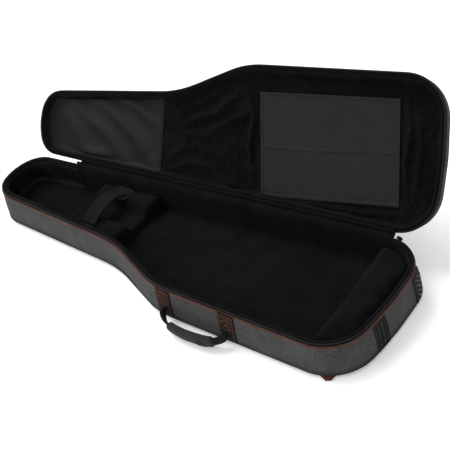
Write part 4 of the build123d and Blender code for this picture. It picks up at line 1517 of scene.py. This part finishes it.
@dataclass
class WallHardware:
    """Rubber bumpers on the tail and the strap anchors at its corners."""

    loop: Loop
    tray: BaseTray
    bumper_z: tuple = (7.0, 74.5)
    front: tuple = (-70.0, -30.0)
    far: tuple = (78.0, 116.0)

    def build(self) -> None:
        """Make both bumpers and both anchors."""
        self.bumper("front", *self.front, upright=True)
        self.bumper("far", *self.far, upright=False)
        self.anchor("front", 482.0, -156.0, -58.0)
        self.anchor("far", 486.0, 152.0, 54.0)

    def bumper(self, side: str, y0: float, y1: float, upright: bool) -> None:
        """A moulded plate with a rounded frame and raised tread.

        Args:
            side: which bumper.
            y0: one edge across the tail.
            y1: its other edge.
            upright: straight upright ribs, or a crossed tread.
        """
        start, end = self.loop.tail_at(y0), self.loop.tail_at(y1)
        z0, z1 = self.bumper_z
        u = np.linspace(-0.999, 0.999, 91)
        v = np.linspace(-0.999, 0.999, 121)
        across, up = np.meshgrid(u, v, indexing="ij")
        gap = np.minimum((1 - np.abs(across)) * (end - start) / 2, (1 - np.abs(up)) * (z1 - z0) / 2)
        if upright:
            bars = 0.5 + 0.5 * np.tanh(4 * np.cos(across * np.pi * 3.5))
            tread = bars * (0.55 + 0.45 * np.tanh(3 * np.cos(up * np.pi * 9)))
        else:
            first = np.cos((across * 19 + up * 34) * 0.5)
            second = np.cos((across * 19 - up * 34) * 0.5)
            tread = 0.5 + 0.5 * np.tanh(3.0 * (np.maximum(first, second) - 0.25))
        inside = np.clip((gap - 3.4) / 0.8, 0, 1)
        frame_ring = np.clip((3.0 - gap) / 0.6, 0, 1)
        height = 0.6 + 4.0 * inside * tread + 3.0 * frame_ring
        height = np.where(gap < 1.2, 0.2 + 3.2 * np.sqrt(np.clip(gap / 1.2, 0, 1)), height)
        z = (z0 + z1) / 2 + up * (z1 - z0) / 2
        arcs = (start + end) / 2 + u * (end - start) / 2
        outer = np.stack([self.tray.surface(z) + height, z], axis=2)
        grid = self.loop.patch(arcs, outer)
        back = self.loop.patch(arcs, np.stack([self.tray.surface(z) - 0.6, z], axis=2))
        rows, cols = grid.shape[:2]
        points = np.vstack([grid.reshape(-1, 3), back.reshape(-1, 3)])
        faces = grid_faces(rows, cols, False, False)
        faces += [tuple(k + rows * cols for k in face)[::-1] for face in faces]
        rim = ([i * cols for i in range(rows)] + [(rows - 1) * cols + j for j in range(1, cols)]
               + [i * cols + cols - 1 for i in range(rows - 2, -1, -1)] + [j for j in range(cols - 2, 0, -1)])
        for a, b in zip(rim, rim[1:] + rim[:1]):
            faces.append((a, b, b + rows * cols, a + rows * cols))
        plate = make_mesh("bumper_" + side, points, faces, RUBBER, 60)
        settle(plate, Body.BASE, "rubber", "tail_bumper_" + side)

    def anchor(self, side: str, x: float, y: float, angle: float) -> None:
        """A folded triangle of maroon webbing that holds a shoulder strap's end.

        Args:
            side: which anchor.
            x: its place along the bag.
            y: its place across it.
            angle: which way it points, in degrees.
        """
        nodes = [(-20, -36), (14, -9), (18.5, -6), (18.5, 6), (14, 9), (-20, 36)]
        ring = spaced(np.array(nodes + nodes[:1], float), 90)[:-1]
        c, s = math.cos(math.radians(angle)), math.sin(math.radians(angle))
        turned = np.stack([ring[:, 0] * c - ring[:, 1] * s + x, ring[:, 0] * s + ring[:, 1] * c + y], axis=1)
        points, faces = cushion(turned, 0.4, 4.2, 1.3, 0.2)
        fold = make_mesh("anchor_" + side, points, faces, MAROON)
        settle(fold, Body.BASE, "anchor_fabric", "shoulder_anchor_" + side)
        inner = turned.mean(axis=0) + (turned - turned.mean(axis=0)) * 0.8
        seam = np.c_[inner, np.full(len(inner), 4.35)]
        up = np.repeat([[0.0, 0.0, 1.0]], len(seam), axis=0)
        settle(make_mesh("anchor_stitching_" + side, *stitches(seam, up, 3.0, 1.6, 0.5, True), THREAD),
               Body.BASE, "anchor_fabric")


@dataclass
class OutsidePockets:
    """Two flat pockets with zippers on the outside of the lid."""

    hinge: Hinge
    lid_top: float = 125.0
    zip_inset: float = 24.0
    zip_end: float = 34.0

    def build(self) -> None:
        """Make both pockets."""
        self.pocket("body", (95.0, 445.0), (-138.0, 118.0), 14.0)
        self.pocket("neck", (-360.0, -130.0), (-72.0, 62.0), 10.0)

    def pocket(self, kind: str, x: tuple, y: tuple, depth: float) -> None:
        """One pocket with its seam, zipper tape and teeth.

        Args:
            kind: which pocket.
            x: its ends along the bag.
            y: its sides.
            depth: how far it stands off the lid.
        """
        top = self.lid_top + depth
        ring = rounded_box((x[0], y[0]), (x[1], y[1]), 26)
        points, faces = cushion(ring, self.lid_top - 3, top - 1.2, 2.0, 1.0, 7.0)
        puff = make_mesh(kind + "_pouch", self.hinge.opened(points), faces, OUTER)
        settle(puff, Body.LID, "outer_fabric", kind + "_pocket")
        welt = np.c_[ring, np.full(len(ring), self.lid_top + 3.4)]
        points, faces = tube(self.hinge.opened(welt), 2.0, 8, True)
        settle(make_mesh(kind + "_pouch_welt", points, faces, BINDING), Body.LID, "dark_piping")
        line = y[0] + self.zip_inset
        x0, x1 = x[0] + self.zip_end, x[1] - self.zip_end
        u = np.linspace(x0, x1, 90)
        path = np.c_[u, np.full(90, line), np.full(90, top + 0.35)]
        strip = self.hinge.opened(ribbon(path, (0, 1, 0), 22.0, 0.8))
        tape = make_grid(kind + "_pouch_tape", strip, TAPE, False, True)
        settle(tape, Body.LID, "zipper_tape", kind + "_pocket_tape")
        teeth = []
        for at in np.arange(x0 + 4, x1 - 4, 2.4):
            for side in (-1, 1):
                shift = 0.6 * side
                low, high = (at + shift - 0.7, line - 1.3 * side - 1.4), (at + shift + 0.7, line - 1.3 * side + 1.4)
                box = np.array([(a, b, c) for c in (top + 0.7, top + 2.3)
                                for a, b in ((low[0], low[1]), (high[0], low[1]), (high[0], high[1]), (low[0], high[1]))])
                teeth.append((self.hinge.opened(box), [(0, 3, 2, 1), (4, 5, 6, 7), (0, 1, 5, 4), (1, 2, 6, 5),
                                                       (2, 3, 7, 6), (3, 0, 4, 7)]))
        coil = make_mesh(kind + "_pouch_teeth", *joined(teeth), COIL)
        settle(coil, Body.LID, "zipper_coil", kind + "_pocket_coil")
        rows = []
        for side in (-8.5, 8.5):
            seam = np.c_[u, np.full(90, line + side), np.full(90, top + 0.85)]
            up = self.hinge.opened(seam + (0, 0, 1)) - self.hinge.opened(seam)
            rows.append(stitches(self.hinge.opened(seam), up, 3.6, 2.0, 0.45))
        settle(make_mesh(kind + "_pouch_stitching", *joined(rows), DARK_THREAD), Body.LID, "zipper_tape")


@dataclass
class ShoulderStraps:
    """Padded shoulder straps stowed in the recess under the base, with the back pad between them."""

    start: float = -70.0
    end: float = 290.0
    out: tuple = (60.0, 98.0)
    width: float = 58.0
    low: float = 1.5
    thick: float = 9.0
    lock: float = 36.0

    def build(self) -> None:
        """Make both straps and the back pad."""
        self.strap("front", -1)
        self.strap("far", 1)
        points, faces = cushion(rounded_box((-60, -27), (370, 27), 20), 0.4, 11.6, 4.0, 0.2)
        pad = make_mesh("back_pad", points, faces, GRIP)
        settle(pad, Body.BASE, "grip_fabric", "spine_pad")

    def strap(self, side: str, sign: int) -> None:
        """One stowed strap.

        Args:
            side: which strap.
            sign: -1 for the front side, 1 for the far side.
        """
        start = np.array([self.start, sign * self.out[0]])
        end = np.array([self.end, sign * self.out[1]])
        run = float(np.linalg.norm(end - start))
        along = (end - start) / run
        across = np.array([-along[1], along[0]])
        ring = rounded_box((0, -self.width / 2), (run, self.width / 2), 24)
        ring = start + ring[:, :1] * along + ring[:, 1:] * across
        points, faces = cushion(ring, self.low, self.low + self.thick, 3.8, 0.2)
        pad = make_mesh("strap_pad_" + side, points, faces, GRIP)
        fill_with_air(pad, 5.0, 2.0, 1.2)
        settle(pad, Body.BASE, "grip_fabric", "shoulder_pad_" + side)
        tail = start + along * (run + self.lock + 3)
        corner = np.array([460.0, sign * 126.0])
        path = [(*(tail + (corner - tail) * s), self.low + 3) for s in np.linspace(0, 1, 30)]
        turn = (corner - tail) / np.linalg.norm(corner - tail)
        grid = ribbon(np.array(path), (-turn[1], turn[0], 0), 25.0, 2.0)
        web = make_grid("strap_webbing_" + side, grid, WEBBING, False, True)
        settle(web, Body.BASE, "webbing", "shoulder_webbing_" + side)


@dataclass
class Studio:
    """Pale floor, soft lights and the camera."""

    place: tuple = (1503.6, -1270.4, 1634.7)
    yaw: float = 47.03
    pitch: float = 38.73
    roll: float = -15.13
    lens: float = 90.49

    def build(self) -> None:
        """Make the floor, the lights and the camera."""
        self.floor()
        self.lights()
        self.camera()

    def floor(self) -> None:
        """A plain pale floor."""
        bpy.ops.mesh.primitive_plane_add(size=14)
        plane = bpy.context.object
        plane.name = "floor"
        paint = bpy.data.materials.new("pale_floor")
        paint.use_nodes = True
        paint.node_tree.nodes["Principled BSDF"].inputs["Base Color"].default_value = (0.97, 0.97, 0.97, 1)
        paint.node_tree.nodes["Principled BSDF"].inputs["Roughness"].default_value = 0.9
        paint.node_tree.nodes["Principled BSDF"].inputs["Emission Color"].default_value = (1, 1, 1, 1)
        paint.node_tree.nodes["Principled BSDF"].inputs["Emission Strength"].default_value = 0.22
        plane.data.materials.append(paint)

    def lights(self) -> None:
        """A white surround, a wide soft key from the head end and three soft fill lamps."""
        world = bpy.data.worlds.new("studio")
        bpy.context.scene.world = world
        world.use_nodes = True
        world.node_tree.nodes["Background"].inputs["Color"].default_value = (1, 1, 1, 1)
        world.node_tree.nodes["Background"].inputs["Strength"].default_value = 0.52
        for name, kind, spot, size, power in (
                ("key", "SUN", (-0.66, 0.10, 0.90), math.radians(38), 1.9),
                ("front", "AREA", (-1.3, -2.2, 1.6), 1.6, 30),
                ("side", "AREA", (2.0, -1.6, 2.4), 2.0, 8),
                ("back", "AREA", (0.6, 2.4, 2.2), 1.6, 14)):
            lamp = bpy.data.lights.new(name, kind)
            lamp.energy = power
            if kind == "SUN":
                lamp.angle = size
            else:
                lamp.size = size
            holder = bpy.data.objects.new(name, lamp)
            holder.location = spot
            holder.rotation_mode = "QUATERNION"
            holder.rotation_quaternion = (Vector((0, 0, 0.0)) - Vector(spot)).to_track_quat("-Z", "Y")
            bpy.context.scene.collection.objects.link(holder)

    def camera(self) -> None:
        """The camera, high at the tail's front corner, looking towards the head."""
        yaw, pitch, roll = (math.radians(a) for a in (self.yaw, self.pitch, self.roll))
        ahead = Vector((-math.sin(yaw) * math.cos(pitch), math.cos(yaw) * math.cos(pitch), -math.sin(pitch)))
        level = Vector((math.cos(yaw), math.sin(yaw), 0))
        above = level.cross(ahead)
        right = level * math.cos(roll) + above * math.sin(roll)
        top = above * math.cos(roll) - level * math.sin(roll)
        lens = bpy.data.cameras.new("camera")
        lens.lens, lens.sensor_width = self.lens, 36.0
        lens.clip_end = 60
        holder = bpy.data.objects.new("camera", lens)
        turn = Matrix((right, top, -ahead)).transposed().to_4x4()
        holder.matrix_world = Matrix.Translation(Vector(self.place) * MM) @ turn
        bpy.context.scene.collection.objects.link(holder)
        bpy.context.scene.camera = holder


FINISH_OF_SLOT = {
    "outer_fabric": OUTER, "foam": GRIP, "plush": LINING, "nylon_guard": NYLON,
    "piping": PIPING, "dark_piping": BINDING,
    "zipper_tape": TAPE, "zipper_coil": COIL, "webbing": WEBBING, "hook_loop": HOOK, "grip_fabric": GRIP,
    "rubber": RUBBER, "anchor_fabric": MAROON, "moulded_plastic": PLASTIC, "slider_metal": SLIDER,
    "pull_rubber": PULL,
}


def dress_frame_nodes() -> None:
    """Give every CAD node that still shows its own finish."""
    slots = {part["node"]: part["material_slot"] for part in frame["record"]["subparts"]}
    for name, node in frame["nodes"].items():
        if node.hide_render:
            continue
        for place in node.material_slots:
            place.material = FINISH_OF_SLOT[slots[name]].material()


def main() -> None:
    """Build the bag and its studio in order."""
    logging.basicConfig(level=logging.INFO, format="%(message)s")
    bpy.context.scene.view_settings.view_transform = "Standard"
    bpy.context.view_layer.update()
    Studio().build()
    loop = Outline().loop()
    hinge = Hinge()
    tray = BaseTray(loop, hinge)
    for assembly in (tray, TrayPads(loop), Lid(loop, hinge), FabricHinge(hinge), CarryHandle(loop, tray),
                     WallHardware(loop, tray), OutsidePockets(hinge), ShoulderStraps()):
        assembly.build()
    dress_frame_nodes()


if __name__ == "__main__":
    main()
